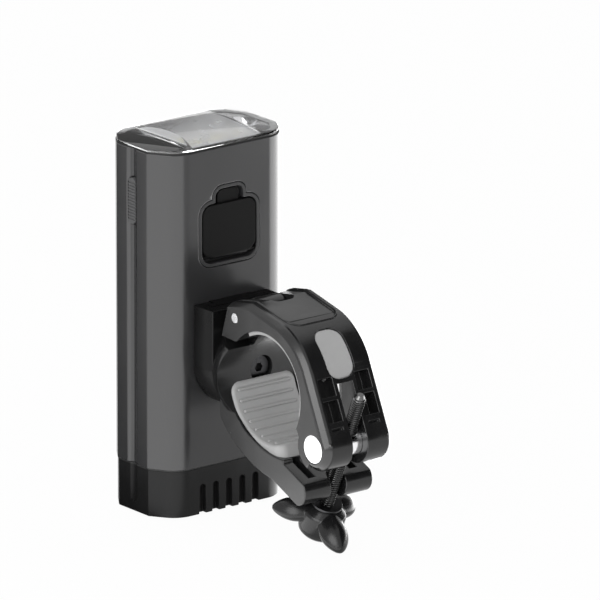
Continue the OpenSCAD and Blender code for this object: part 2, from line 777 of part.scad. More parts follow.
module lamp_rail() {
    color([0.2, 0.2, 0.21])
    difference() {
        union() {
            translate([-rail_head_width / 2, head_face, -rail_foot])
                cube([rail_head_width, rail_head_depth, cradle_top + rail_foot]);
            translate([-rail_neck_width / 2, head_back - 1, -rail_foot])
                cube([rail_neck_width, lamp_distance - head_back + 1, cradle_top + rail_foot]);
        }
        rail_screw_places() {
            rod_y(rail_screw_diameter / 2 + fixed_gap, 0, far);
            rod_y(rail_screw_diameter + fixed_gap, 0, head_face + rail_screw_head);
        }
    }
}

module rail_screws() {
    color([0.7, 0.7, 0.71])
    rail_screw_places() {
        rod_y(rail_screw_diameter, head_face, head_face + rail_screw_head);
        rod_y(rail_screw_diameter / 2, head_face + 1, lamp_distance + shell_wall);
    }
}

module pill_x(length, width, from, to) {
    translate([from, 0, 0]) rotate([0, 90, 0]) {
        for (z = [-1, 1])
            translate([z * (length - width) / 2, 0, 0]) cylinder(r = width / 2, h = to - from, $fn = small);
        translate([(width - length) / 2, -width / 2, 0]) cube([length - width, width, to - from]);
    }
}

// Outline of the port frame, shrunk by an inset: a block round the cover and one round its tab
module frame_block(inset, from, to) {
    round_block(frame_width - 2 * inset, frame_low + inset, frame_top - inset,
        cover_corner + cover_gap + frame_rim - inset, from, to);
    round_block(tab_width + 2 * (tab_gap + frame_rim - inset), frame_top - 8,
        tab_top + cover_gap + frame_rim - inset, hollow_corner + frame_rim - inset, from, to);
}

// The four corners in which the end cap's screws stand, at the given height
module cap_screw_places(height) {
    for (x = [-screw_post_x, screw_post_x], y = [-screw_post_y, screw_post_y])
        translate([x, middle + y, height]) children();
}

module body_shell() {
    color([0.31, 0.31, 0.32])
    difference() {
        union() {
            difference() {
                lamp_prism(0, shell_low, lens_seam);
                lamp_prism(shell_wall, shell_low - 1, lens_seam + 1);
                side_grooves(shell_low - 1, lens_seam + 1);
            }
            intersection() {
                lamp_prism(shell_wall / 2, shell_low, shell_low + post_length);
                cap_screw_places(shell_low) cylinder(r = post_radius, h = post_length, $fn = small);
            }
        }
        cap_screw_places(shell_low - 1)
            cylinder(r = cap_screw_diameter / 2 + fixed_gap, h = post_length - 1, $fn = small);
        frame_block(0, 0, lamp_distance + shell_wall + 1);
        rail_screw_places() rod_y(rail_screw_diameter / 2 + fixed_gap, 0, lamp_distance + shell_wall + 1);
        translate([0, middle, button_middle])
            pill_x(button_length + 2 * sliding_gap, button_width + 2 * sliding_gap, -half_width - 2,
                1 - inner_side);
    }
}

module end_cap() {
    color([0.2, 0.2, 0.205])
    difference() {
        union() {
            difference() {
                lamp_prism(cap_step, cap_low, -cap_seam);
                lamp_prism(cap_step + cap_wall, cap_low + cap_wall, 1 - cap_seam);
                side_grooves(cap_low + 3, 1 - cap_seam);
            }
            difference() {
                lamp_prism(shell_wall + fixed_gap, -cap_seam - 2, spigot_top);
                lamp_prism(spigot_inside, -cap_seam - 3, spigot_top + 1);
                for (side = [-1, 1]) cell(side, sliding_gap);
                cap_screw_places(shell_low - 0.01)
                    cylinder(r = post_radius + fixed_gap, h = post_length, $fn = small);
            }
            intersection() {
                lamp_prism(shell_wall + fixed_gap, cap_low, shell_low);
                cap_screw_places(cap_low) cylinder(r = post_radius, h = shell_low - cap_low, $fn = small);
            }
        }
        cap_screw_places(cap_low - 1) {
            cylinder(r = cap_screw_diameter / 2 + fixed_gap, h = cap_height + 4, $fn = small);
            cylinder(r = cap_screw_head / 2 + fixed_gap, h = 1 + cap_screw_sink + cap_head_height,
                $fn = small);
        }
        // Slots in the face, open at the bottom
        for (i = [0:slot_count - 1])
            translate([(i - (slot_count - 1) / 2) * slot_pitch, lamp_distance - 1, 0]) {
                translate([-slot_width / 2, 0, cap_low - 1])
                    cube([slot_width, 1 + cap_step + slot_depth, 1 + slot_height - slot_width / 2]);
                translate([0, 0, cap_low + slot_height - slot_width / 2]) rotate([-90, 0, 0])
                    cylinder(r = slot_width / 2, h = 1 + cap_step + slot_depth, $fn = small);
            }
    }
}

module cap_seal() {
    color([0.05, 0.05, 0.05])
    difference() {
        lamp_prism(seal_step, -cap_seam, shell_low);
        lamp_prism(shell_wall, -cap_seam - 1, shell_low + 1);
        side_grooves(-cap_seam - 1, shell_low + 1);
    }
}

module cap_screws() {
    color([0.7, 0.7, 0.71])
    cap_screw_places(cap_low + cap_screw_sink) {
        cylinder(r = cap_screw_head / 2, h = cap_head_height, $fn = small);
        cylinder(r = cap_screw_diameter / 2, h = cap_height + 6, $fn = small);
    }
}

// Outline of the lens along the lamp's width: low ends that rise to a raised middle
module lens_length() {
    edge = lens_low + lens_edge;
    foot = [lens_foot / 2, edge + lens_end_rise];
    ridge = [lens_ridge / 2, edge + lens_crown + 0.5];
    polygon([[-half_width, lens_low - 2], [half_width, lens_low - 2], [half_width, edge], foot, ridge,
        [-ridge[0], ridge[1]], [-foot[0], foot[1]], [-half_width, edge]]);
}

// Outline of the lens across the lamp: one arch from the front edge to the back edge
module lens_arch() {
    radius = (half_depth * half_depth + lens_crown * lens_crown) / (2 * lens_crown);
    intersection() {
        translate([-half_depth, lens_low - 2]) square([2 * half_depth, lens_crown + 6]);
        translate([0, lens_low + lens_edge + lens_crown - radius]) circle(r = radius, $fn = smooth);
    }
}

module lens_cover() {
    color([0.85, 0.9, 0.93, 0.5])
    intersection() {
        lamp_prism(lens_step, lens_low, lens_low + lens_edge + lens_crown + 1);
        translate([0, middle, 0]) profile_x(2 * lamp_width) lens_arch();
        translate([0, middle, 0]) rotate([0, 0, 90]) profile_x(2 * lamp_width) lens_length();
    }
}

module lens_seal() {
    color([0.05, 0.05, 0.05])
    difference() {
        lamp_prism(seal_step, lens_seam, lens_low);
        lamp_prism(shell_wall + 0.6, lens_seam - 1, lens_low + 1);
        side_grooves(lens_seam - 1, lens_low + 1);
    }
}

// Room that the power button's flange takes inside the shell
module button_room() {
    room_half = flange_half + sliding_gap;
    room_length = flange_length + 2 * sliding_gap;
    translate([-inner_side - 1, middle - room_half, button_middle - room_length / 2])
        cube([1 + button_flange + button_travel + sliding_gap, 2 * room_half, room_length]);
}

module reflector() {
    floor_half = trough_floor / 2;
    mouth_half = trough_width / 2;
    color([0.9, 0.9, 0.92])
    difference() {
        lamp_prism(shell_wall + fixed_gap, reflector_low, lens_seam);
        translate([0, middle, 0]) profile_x(trough_length)
            polygon([[-floor_half, reflector_low - 1], [floor_half, reflector_low - 1],
                [floor_half, reflector_low], [mouth_half, lens_seam], [mouth_half, lens_seam + 1],
                [-mouth_half, lens_seam + 1], [-mouth_half, lens_seam], [-floor_half, reflector_low]]);
        for (side = [-1, 1])
            translate([side * bowl_place, middle, reflector_low - 0.01])
                cylinder(r1 = emitter_width * 0.8, r2 = bowl_radius, h = reflector_depth + 0.02,
                    $fn = smooth);
        button_room();
    }
}

module light_board_plate() {
    color([0.9, 0.9, 0.85])
    difference() {
        lamp_prism(shell_wall + fixed_gap, light_low, reflector_low);
        button_room();
    }
}

module light_emitters() {
    color([0.95, 0.85, 0.35])
    for (x = [-bowl_place, -emitter_pitch, 0, emitter_pitch, bowl_place])
        translate([x, middle, reflector_low]) {
            translate([-emitter_width / 2, -emitter_width / 2, 0]) cube([emitter_width, emitter_width, 0.7]);
            translate([0, 0, 0.5])
                cylinder(r1 = emitter_width * 0.42, r2 = emitter_width * 0.2, h = 1, $fn = small);
        }
}

module heat_sink() {
    color([0.75, 0.75, 0.77])
    difference() {
        union() {
            lamp_prism(shell_wall, sink_low, light_low);
            for (i = [-3:3])
                translate([i * fin_pitch - fin_thickness / 2, middle - 8, sink_low - sink_fin])
                    cube([fin_thickness, 16, sink_fin + 0.5]);
        }
        button_room();
    }
}

// A cell on one side, or the room round it where a gap is given
module cell(side, gap) {
    translate([side * (cell_diameter / 2 + fixed_gap), middle, -cell_foot - gap])
        cylinder(r = cell_diameter / 2 + gap, h = cell_length + 2 * gap, $fn = smooth);
}

module cell_left() {
    color([0.15, 0.35, 0.6]) cell(-1, 0);
}

module cell_right() {
    color([0.15, 0.35, 0.6]) cell(1, 0);
}

// Two end plates between the screw posts, joined by a strip in each valley between the cells
module battery_holder() {
    low = -cell_foot - holder_plate;
    high = cell_top + holder_plate;
    plate_half = screw_post_y - post_radius - sliding_gap;
    color([0.08, 0.08, 0.08])
    intersection() {
        lamp_prism(spigot_inside + fixed_gap, low, high);
        union() {
            for (plate = [low, cell_top])
                translate([-half_width, middle - plate_half, plate])
                    cube([lamp_width, 2 * plate_half, holder_plate]);
            for (turn = [0, 180])
                translate([0, middle, low]) rotate([0, 0, turn])
                    translate([-holder_strip / 2, plate_half - 0.8, 0])
                        cube([holder_strip, holder_strip, high - low]);
        }
    }
}

module circuit_board_plate() {
    color([0.05, 0.3, 0.15])
    translate([-board_width / 2, board_face, board_low]) cube([board_width, circuit_board, board_height]);
}

module socket(width, height, middle_z) {
    depth = board_face - frame_back;
    translate([-width / 2, frame_back, middle_z - height / 2]) difference() {
        cube([width, depth, height]);
        translate([socket_wall, -1, socket_wall])
            cube([width - 2 * socket_wall, depth, height - 2 * socket_wall]);
    }
}

module socket_window(width, height, middle_z) {
    translate([socket_wall - width / 2, 0, middle_z - height / 2 + socket_wall])
        cube([width - 2 * socket_wall, far, height - 2 * socket_wall]);
}

module charge_socket() {
    color([0.75, 0.75, 0.76]) socket(charge_width, charge_height, charge_middle);
}

module supply_socket() {
    color([0.75, 0.75, 0.76]) socket(supply_width, supply_height, supply_middle);
}

module port_frame() {
    color([0.24, 0.24, 0.25])
    difference() {
        union() {
            frame_block(fixed_gap, lamp_distance, frame_back);
            frame_block(-frame_flange, lamp_distance + shell_wall, frame_back);
        }
        round_block(cover_width + 2 * cover_gap, cover_foot - cover_gap,
            cover_foot + cover_height + cover_gap, cover_corner + cover_gap, 0, pocket_back);
        // Finger hollow around the tab
        round_block(tab_width + 2 * tab_gap, cover_foot + cover_height - 4, tab_top + cover_gap,
            hollow_corner, 0, pocket_back);
        // Windows for the two sockets
        socket_window(charge_width, charge_height, charge_middle);
        socket_window(supply_width, supply_height, supply_middle);
        // Holes of the hinge stubs
        translate([0, cover_axis_y, cover_axis_z])
            rod_x(stub_diameter / 2 + turning_gap, cover_width + 2 * (stub_length + fixed_gap));
    }
}

module port_cover() {
    front = lamp_distance;
    back = lamp_distance + cover_thickness;
    color([0.1, 0.1, 0.1]) {
        round_block(cover_width, cover_axis_z, cover_foot + cover_height, cover_corner, front, back);
        round_block(tab_width, cover_foot + cover_height - 5, tab_top, tab_corner, front + tab_step, back);
        translate([0, cover_axis_y, cover_axis_z]) {
            rod_x(cover_thickness / 2, cover_width - 2 * cover_corner);
            rod_x(stub_diameter / 2, cover_width + 2 * stub_length);
        }
    }
}

module power_button() {
    color([0.4, 0.4, 0.41])
    translate([0, middle, button_middle]) {
        difference() {
            pill_x(button_length, button_width, button_face, 0.2 - inner_side);
            for (i = [-6:6])
                translate([button_face - 0.2, -button_width, i * button_rib_pitch - button_rib_cut / 2])
                    cube([0.5, 2 * button_width, button_rib_cut]);
        }
        translate([-inner_side, -flange_half, -flange_length / 2])
            cube([button_flange, 2 * flange_half, flange_length]);
    }
}

module button_switch() {
    color([0.3, 0.3, 0.3])
    translate([-inner_side + button_flange + button_travel, 0, button_middle]) {
        translate([1, board_face + circuit_board, -3]) cube([3.4, 6.2, 5]);
        translate([0, middle, 0]) rotate([0, 90, 0]) cylinder(r = 1, h = 2, $fn = small);
    }
}

lower_jaw();
jaw_pad();
hinge_pin();
upper_arm();
arm_liner();
barrel_nut();
thrust_washer();
clamp_screw();
knob();
swivel_screw();
swivel_nut();
cradle();
lamp_rail();
rail_screws();
body_shell();
end_cap();
cap_seal();
cap_screws();
lens_cover();
lens_seal();
reflector();
light_board_plate();
light_emitters();
heat_sink();
cell_left();
cell_right();
battery_holder();
circuit_board_plate();
charge_socket();
supply_socket();
port_frame();
port_cover();
power_button();
button_switch();
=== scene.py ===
"""Looks of a bicycle headlight on its handlebar clamp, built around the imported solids."""

import json
import math

import bmesh
import bpy
from bpy.props import FloatProperty, FloatVectorProperty, PointerProperty
from mathutils import Matrix, Vector
from mathutils.bvhtree import BVHTree

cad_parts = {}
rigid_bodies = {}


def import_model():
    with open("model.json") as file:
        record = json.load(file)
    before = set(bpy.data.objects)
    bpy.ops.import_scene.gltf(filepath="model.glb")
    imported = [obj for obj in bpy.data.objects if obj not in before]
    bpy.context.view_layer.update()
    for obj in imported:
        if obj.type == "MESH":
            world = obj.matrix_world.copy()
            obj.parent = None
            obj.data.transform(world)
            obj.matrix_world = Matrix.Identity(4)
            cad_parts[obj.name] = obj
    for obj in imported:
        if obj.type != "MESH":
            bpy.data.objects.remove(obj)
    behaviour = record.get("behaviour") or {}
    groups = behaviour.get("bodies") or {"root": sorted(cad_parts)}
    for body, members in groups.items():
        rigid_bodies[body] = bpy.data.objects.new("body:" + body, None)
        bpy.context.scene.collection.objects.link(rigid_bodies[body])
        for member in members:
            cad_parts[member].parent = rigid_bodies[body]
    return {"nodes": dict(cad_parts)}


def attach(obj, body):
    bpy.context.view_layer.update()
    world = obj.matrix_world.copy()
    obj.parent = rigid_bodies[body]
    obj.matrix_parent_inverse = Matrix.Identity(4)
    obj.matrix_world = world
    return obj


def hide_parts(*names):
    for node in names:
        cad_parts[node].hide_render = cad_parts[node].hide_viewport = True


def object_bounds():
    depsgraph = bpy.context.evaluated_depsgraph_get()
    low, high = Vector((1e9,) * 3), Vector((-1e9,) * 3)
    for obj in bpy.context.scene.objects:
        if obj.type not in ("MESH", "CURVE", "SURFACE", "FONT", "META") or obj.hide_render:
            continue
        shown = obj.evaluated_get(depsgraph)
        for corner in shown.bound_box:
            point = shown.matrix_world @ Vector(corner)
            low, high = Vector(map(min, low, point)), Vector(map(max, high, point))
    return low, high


bl_info = {
    "name": "Bicycle headlight looks",
    "version": (1, 0, 0),
    "blender": (4, 5, 0),
    "location": "3D View > Sidebar > Headlight",
    "description": "Finishes, soft pieces and studio of a bicycle headlight on a handlebar clamp",
    "category": "Object",
}

for leftover in list(bpy.data.objects):
    bpy.data.objects.remove(leftover)
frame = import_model()
NODES = frame["nodes"]
CAD_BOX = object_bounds()
MM = 0.001

# Sizes and places on the solids, in millimetres and degrees

# Lamp: seam of the end cap, side grooves, edges too short to round
CAP_SEAM = -33.0
GROOVE_SIDE = 19.0
GROOVE_FOOT = -45.0
SHORT_EDGE = 0.2

# Lens: its seat and crown, and the hollow below its arch
LENS_LOW = 63.7
LENS_TOP = 66.5
LENS_ARCH = 50.06
LENS_WALL = 0.9
LENS_MIDDLE = 46.8
LENS_LIFT = 0.03
LENS_ROUND = 0.25
LENS_FOOT = 12.4
LENS_SLANT = 3.0
REFLECTOR_MIDDLE = 12.0

# Arm: shallow panel with its bead, and the recess in front of the hinge
PANEL_HALF = 8.9
PANEL_FRONT = -8.64
PANEL_BACK = 14.5
PANEL_CORNER = 4.0
BEAD_RADIUS = 0.32
BEAD_OUT = 0.3
RECESS_HALF = 4.25
RECESS_FRONT = 5.4
RECESS_BACK = 9.2
RECESS_CORNER = 2.6
RECESS_FLOOR = 18.7
RECESS_HEIGHT = 9.0

# Rubber pad in the hollow of the jaw
PAD_FACE = 16.3
PAD_HALF = 11.45
PAD_ENDS = (-112.0, -8.0)
PAD_CORNER = 3.0
PAD_BORDER = 1.0
PAD_STEP = 0.12
JAW_RING = 17.0
JAW_CENTRE = (-6.8, 8.9)
JAW_CURVE = 27.9
RIB_ANGLES = [-16.0 - 11.5 * i for i in range(8)]
RIB_HALF = 9.5
RIB_RADIUS = 0.42
RIB_HEIGHT = 0.38
RIB_GROOVE = 0.2

# Clamp screw and knob, in the screw's own frame
BARREL = (0.0, -22.5, -12.3)
SCREW_LEAN = 23.1
SCREW_RADIUS = 2.0
THREAD_TOP = 17.0
THREAD_PITCH = 0.7
THREAD_DEPTH = 0.62
HUB_TOP = -23.0
HUB_OUTLINE = [(4.2, 0.0), (4.6, -0.35), (6.2, -2.0), (6.5, -2.6), (6.5, -7.6), (6.2, -8.8), (5.2, -9.8),
               (3.0, -10.4)]
KNOB_TURN = 17.0
KNOB_SKIN = 0.18
LOBE_ROOT = 2.5
LOBE_LENGTH = 12.2
LOBE_DOWN = 3.4
LOBE_DROOP = 14.0
LOBE_HALF = 4.4
LOBE_RISE = 3.6

# Rounding: points that are one, faces that are one flat, edges that stay hard, corners of a large flat
WELD = 0.002
FLAT_TURN = 0.3
HARD_TURN = 32.0
FLAT_CORNERS = 12

# Studio, in metres and degrees: places of the cards seen in gloss, and of the lamps
CAMERA_TURN = -38.0
CAMERA_RISE = 17.0
CAMERA_AIM = (0.0, -0.0011, 0.0248)
VIEW_WIDTH = 0.17143
FLOOR_HALF = 20.0
FLOOR_WHITE = 0.97
CARD_LIFT = 0.0006
CARD_STEP = 0.0002
CARD_REACH = 0.7
SIDE_FLAG = [(-0.022, 0.0257), (-0.022, 0.9), (-0.6, 1.4), (-0.6, 0.7655)]
NEAR_CARD = [(-0.016, 0.018), (-0.6, 0.7655), (-0.6, 0.5626), (-0.03, -0.167)]
FRONT_FLAG = (62.0, 28.0, 1.0, 0.75, 0.5)
TOP_FLAG = (0.0, 89.0, 1.0, 0.3, 0.3)
BACK_FLAG = (142.0, 17.0, 0.9, 0.45, 0.2)
BACK_GLOW = 0.3
EDGE_CARD = ((0.0165, 0.031), 45.0, 150.0)
LEFT_CARD = ((-0.02, 0.036), -100.0, 8.0)
KEY_LIGHT = (0.9, (-1.05, -0.55, 0.5))
TOP_LIGHT = (1.2, (-0.2, 0.5, 1.3))


# Properties

def colour_prop(name, description, default):
    return FloatVectorProperty(name=name, description=description, default=default, subtype="COLOR", size=3,
                               min=0.0, max=1.0)


def length_prop(name, description, default):
    return FloatProperty(name=name, description=description, default=default, unit="LENGTH", min=0.0,
                         precision=5)


class HeadlightLampLook(bpy.types.PropertyGroup):
    """Colours and edges of the lamp"""

    shell: colour_prop("Shell", "Colour of the lamp's shell", (0.032, 0.032, 0.033))
    cap: colour_prop("End cap", "Colour of the end cap", (0.008, 0.008, 0.0082))
    flap: colour_prop("Port cover", "Colour of the rubber port cover", (0.005, 0.005, 0.005))
    rim: colour_prop("Port frame", "Colour of the frame round the port cover", (0.022, 0.022, 0.023))
    key: colour_prop("Power button", "Colour of the power button", (0.075, 0.075, 0.077))
    seal: colour_prop("Seals", "Colour of the rubber seals", (0.006, 0.006, 0.006))
    edge: length_prop("Lamp edge", "Radius of the lamp's edges", 0.28 * MM)


class HeadlightClampLook(bpy.types.PropertyGroup):
    """Colours and edges of the clamp"""

    plastic: colour_prop("Clamp", "Colour of the clamp's plastic", (0.011, 0.011, 0.0113))
    block: colour_prop("Cradle", "Colour of the cradle behind the clamp", (0.006, 0.006, 0.0062))
    rubber: colour_prop("Grip rubber", "Colour of the pad and the liner", (0.40, 0.40, 0.40))
    steel: colour_prop("Pins", "Colour of the polished pins", (0.93, 0.93, 0.94))
    screw: colour_prop("Screws", "Colour of the blackened screws", (0.05, 0.05, 0.052))
    thread: colour_prop("Thread", "Colour of the clamp screw", (0.13, 0.13, 0.13))
    knob: colour_prop("Knob", "Colour of the knob", (0.008, 0.008, 0.0085))
    edge: length_prop("Clamp edge", "Radius of the clamp's edges", 0.3 * MM)


class HeadlightStage(bpy.types.PropertyGroup):
    """Studio round the headlight"""

    floor: colour_prop("Floor", "Colour of the pale floor", (0.86, 0.86, 0.86))
    sky: FloatProperty(name="Sky", description="Strength of the even studio light", default=0.5, min=0.0)
    key: FloatProperty(name="Key", description="Power of the soft light on the left", default=9.0, min=0.0,
                       unit="POWER")
    fill: FloatProperty(name="Fill", description="Power of the soft light overhead", default=4.0, min=0.0,
                        unit="POWER")
    edge: FloatProperty(name="Edge card", description="Strength of the card that the lamp's right edge shows",
                        default=5.0, min=0.0)
    left: FloatProperty(name="Left card", default=2.6, min=0.0,
                        description="Strength of the card that the lamp's left corner shows")
    near: FloatProperty(name="Near card", description="Strength of the card that the clamp's near side shows",
                        default=1.7, min=0.0)
    lens: FloatProperty(name="Camera lens", description="Focal length of the camera", default=800.0, min=1.0,
                        unit="CAMERA")


# Materials

def new_material(name):
    """An empty material with its Principled shader."""
    material = bpy.data.materials.new(name)
    material.use_nodes = True
    tree = material.node_tree
    return material, tree, tree.nodes["Principled BSDF"]


def object_place(tree, scale=(1.0, 1.0, 1.0)):
    """Object coordinates in metres, stretched by a scale."""
    place = tree.nodes.new("ShaderNodeTexCoord")
    mapping = tree.nodes.new("ShaderNodeMapping")
    mapping.inputs["Scale"].default_value = scale
    tree.links.new(place.outputs["Object"], mapping.inputs["Vector"])
    return mapping.outputs["Vector"]


def noise(tree, vector, scale, detail=3.0, roughness=0.5):
    """Value of a noise texture at a place."""
    node = tree.nodes.new("ShaderNodeTexNoise")
    node.inputs["Scale"].default_value = scale
    node.inputs["Detail"].default_value = detail
    node.inputs["Roughness"].default_value = roughness
    tree.links.new(vector, node.inputs["Vector"])
    return node.outputs["Fac"]


def spread(tree, value, low, high, socket, start=0.3, end=0.7):
    """Maps a texture value to a range on a shader socket."""
    node = tree.nodes.new("ShaderNodeMapRange")
    node.inputs["From Min"].default_value = start
    node.inputs["From Max"].default_value = end
    node.inputs["To Min"].default_value = low
    node.inputs["To Max"].default_value = high
    tree.links.new(value, node.inputs["Value"])
    tree.links.new(node.outputs["Result"], socket)


def tint(tree, value, colour, change, socket):
    """Colour that varies by a share of itself with a texture value."""
    darker = [c * (1 - change) for c in colour]
    lighter = [min(c * (1 + change), 1) for c in colour]
    two_colours(tree, value, darker, lighter, socket)


def two_colours(tree, value, first, second, socket):
    """Runs from one colour to another with a value."""
    node = tree.nodes.new("ShaderNodeMix")
    node.data_type = "RGBA"
    node.inputs["A"].default_value = (*first, 1)
    node.inputs["B"].default_value = (*second, 1)
    tree.links.new(value, node.inputs["Factor"])
    tree.links.new(node.outputs["Result"], socket)


def combine(tree, operation, first, second):
    """Math node on an output and either another output or a number."""
    node = tree.nodes.new("ShaderNodeMath")
    node.operation = operation
    tree.links.new(first, node.inputs[0])
    if isinstance(second, float):
        node.inputs[1].default_value = second
    else:
        tree.links.new(second, node.inputs[1])
    return node.outputs["Value"]


def coordinate(tree, kind, axis):
    """One axis of the object's own coordinates or normals."""
    where = tree.nodes.new("ShaderNodeTexCoord")
    split = tree.nodes.new("ShaderNodeSeparateXYZ")
    tree.links.new(where.outputs[kind], split.inputs["Vector"])
    return split.outputs[axis]


def facing_up(tree):
    """1 on faces that look along the beam, 0 elsewhere."""
    return combine(tree, "GREATER_THAN", coordinate(tree, "Normal", "Z"), 0.97)


def raise_bump(tree, shader, value, depth, strength):
    """Fine relief of a surface."""
    node = tree.nodes.new("ShaderNodeBump")
    node.inputs["Distance"].default_value = depth
    node.inputs["Strength"].default_value = strength
    tree.links.new(value, node.inputs["Height"])
    tree.links.new(node.outputs["Normal"], shader.inputs["Normal"])


def moulded(name, colour, roughness, grain=6000.0, depth=0.02 * MM, strength=0.25, patches=90.0, change=0.12,
            gloss=0.5):
    """Moulded plastic or rubber: fine spark-eroded grain and faint patches of gloss."""
    material, tree, shader = new_material(name)
    shader.inputs["Specular IOR Level"].default_value = gloss
    place = object_place(tree)
    fine = noise(tree, place, grain, 2.0)
    broad = noise(tree, place, patches, 3.0)
    tint(tree, broad, colour, change, shader.inputs["Base Color"])
    spread(tree, broad, roughness - 0.06, roughness + 0.06, shader.inputs["Roughness"])
    raise_bump(tree, shader, fine, depth, strength)
    return material


def painted_shell(name, colour, roughness):
    """Satin paint on an extrusion: very fine grain and a slow change of gloss."""
    material, tree, shader = new_material(name)
    fine = noise(tree, object_place(tree), 7000.0, 2.0)
    broad = noise(tree, object_place(tree), 60.0, 3.0)
    tint(tree, broad, colour, 0.04, shader.inputs["Base Color"])
    spread(tree, broad, roughness - 0.015, roughness + 0.015, shader.inputs["Roughness"])
    raise_bump(tree, shader, fine, 0.003 * MM, 0.06)
    return material


def metal(name, colour, roughness, scale=(1.0, 1.0, 1.0), grain=2200.0, strength=0.12):
    """Turned or drawn metal with fine tool marks."""
    material, tree, shader = new_material(name)
    shader.inputs["Metallic"].default_value = 1.0
    marks = noise(tree, object_place(tree, scale), grain, 3.0)
    tint(tree, marks, colour, 0.04, shader.inputs["Base Color"])
    spread(tree, marks, max(roughness - 0.05, 0.02), roughness + 0.06, shader.inputs["Roughness"])
    raise_bump(tree, shader, marks, 0.004 * MM, strength)
    return material


def clear_plastic(name, smooth, rough):
    """Clear polycarbonate with a faint flow of the moulding in its gloss."""
    material, tree, shader = new_material(name)
    shader.inputs["Base Color"].default_value = (0.985, 0.99, 0.995, 1)
    shader.inputs["Transmission Weight"].default_value = 1.0
    shader.inputs["IOR"].default_value = 1.49
    flow = noise(tree, object_place(tree), 150.0, 2.0)
    spread(tree, flow, smooth, rough, shader.inputs["Roughness"])
    return material


def plated(name, colour, plate, half_middle):
    """Plated reflector: satin trough in the middle, polished bowls at the ends; the faces at the ends that
    look along the beam get a darker colour, painted shade for the dark reflection there.
    """
    material, tree, shader = new_material(name)
    shader.inputs["Metallic"].default_value = 1.0
    across = coordinate(tree, "Object", "X")
    end = combine(tree, "MAXIMUM", combine(tree, "GREATER_THAN", across, half_middle),
                  combine(tree, "LESS_THAN", across, -half_middle))
    # painted shade: the darker colour goes on the faces at the ends that look along the beam
    dark = combine(tree, "MULTIPLY", end, facing_up(tree))
    two_colours(tree, dark, colour, plate, shader.inputs["Base Color"])
    spread(tree, end, 0.5, 0.07, shader.inputs["Roughness"], 0.0, 1.0)
    raise_bump(tree, shader, noise(tree, object_place(tree), 900.0, 2.0), 0.004 * MM, 0.05)
    return material


def seal_with_painted_highlight(name, colour, painted_highlight, roughness):
    """Dark rubber seal whose face below the lens is painted pale, a painted highlight that stands for the
    bright rim of the lens.
    """
    material, tree, shader = new_material(name)
    # painted highlight: the faces that look along the beam get the pale colour
    two_colours(tree, facing_up(tree), colour, painted_highlight, shader.inputs["Base Color"])
    fine = noise(tree, object_place(tree), 5000.0, 2.0)
    spread(tree, fine, roughness - 0.06, roughness + 0.06, shader.inputs["Roughness"])
    raise_bump(tree, shader, fine, 0.01 * MM, 0.15)
    return material


def printed(name, colour, mark, size):
    """Board, cell wrap or phosphor: a ground colour with small cells of another one."""
    material, tree, shader = new_material(name)
    cells = tree.nodes.new("ShaderNodeTexVoronoi")
    cells.inputs["Scale"].default_value = size
    tree.links.new(object_place(tree), cells.inputs["Vector"])
    two_colours(tree, cells.outputs["Distance"], colour, mark, shader.inputs["Base Color"])
    spread(tree, cells.outputs["Distance"], 0.35, 0.55, shader.inputs["Roughness"], 0.0, 1.0)
    return material


def finish_nodes(material, *names):
    """Gives CAD nodes their material."""
    for name in names:
        node = NODES[name]
        node.data.materials.clear()
        node.data.materials.append(material)


def round_edges(width, *names, segments=3, sharper_than=28.0):
    """Rounds the sharp edges of CAD nodes with modifiers."""
    for name in names:
        node = NODES[name]
        weld = node.modifiers.new("join faces", "WELD")
        weld.merge_threshold = WELD * MM
        flat = node.modifiers.new("join flats", "DECIMATE")
        flat.decimate_type = "DISSOLVE"
        flat.angle_limit = math.radians(FLAT_TURN)
        bevel = node.modifiers.new("round edges", "BEVEL")
        bevel.width = width
        bevel.segments = segments
        bevel.limit_method = "ANGLE"
        bevel.angle_limit = math.radians(sharper_than)
        bevel.harden_normals = True
        bevel.use_clamp_overlap = False
        bevel.loop_slide = False
        bevel.miter_outer = "MITER_ARC"


# Meshes

def add_piece(name, mesh, body, slot, material, *nodes):
    """Links a mesh as a piece that rides on a body and stands for CAD nodes."""
    mesh.materials.clear()
    mesh.materials.append(material)
    piece = bpy.data.objects.new(name, mesh)
    bpy.context.scene.collection.objects.link(piece)
    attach(piece, body)
    if nodes:
        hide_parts(*nodes)
    return piece


def weigh_normals(piece):
    """Keeps flat faces flat next to their rounded edges."""
    modifier = piece.modifiers.new("flat faces", "WEIGHTED_NORMAL")
    modifier.weight = 90
    modifier.keep_sharp = True


def sharpen(mesh, angle):
    """Smooth shading with hard edges where two faces meet at more than an angle."""
    mesh.shade_smooth()
    mesh.set_sharp_from_angle(angle=math.radians(angle))


def open_edges(shape):
    """How many edges don't have just two faces."""
    return sum(1 for edge in shape.edges if not edge.is_manifold)


def refill_flats(shape):
    """Fills large flat faces anew from their outlines, so that their holes stay open after the rounding."""
    planes = {}
    for face in shape.faces:
        if len(face.verts) > FLAT_CORNERS:
            normal, start = face.normal, face.verts[0].co
            if all(abs(normal.dot(v.co - start)) < 0.003 * MM for v in face.verts):
                key = (*(round(n, 2) for n in normal), round(normal.dot(start) / (0.01 * MM)))
                planes[key] = (normal.copy(), normal.dot(start))
    for normal, level in planes.values():
        trial = shape.copy()
        flat = {f for f in trial.faces
                if f.normal.dot(normal) > 0.9999 and abs(normal.dot(f.verts[0].co) - level) < WELD * MM}
        outline = [e for e in trial.edges if sum(f in flat for f in e.link_faces) == 1]
        bmesh.ops.delete(trial, geom=list(flat), context="FACES_KEEP_BOUNDARY")
        outline = [e for e in outline if e.is_valid]
        bmesh.ops.triangle_fill(trial, use_beauty=True, use_dissolve=False, edges=outline, normal=normal)
        if open_edges(trial) > open_edges(shape):
            trial.free()
        else:
            shape.free()
            shape = trial
            shape.normal_update()
    return shape


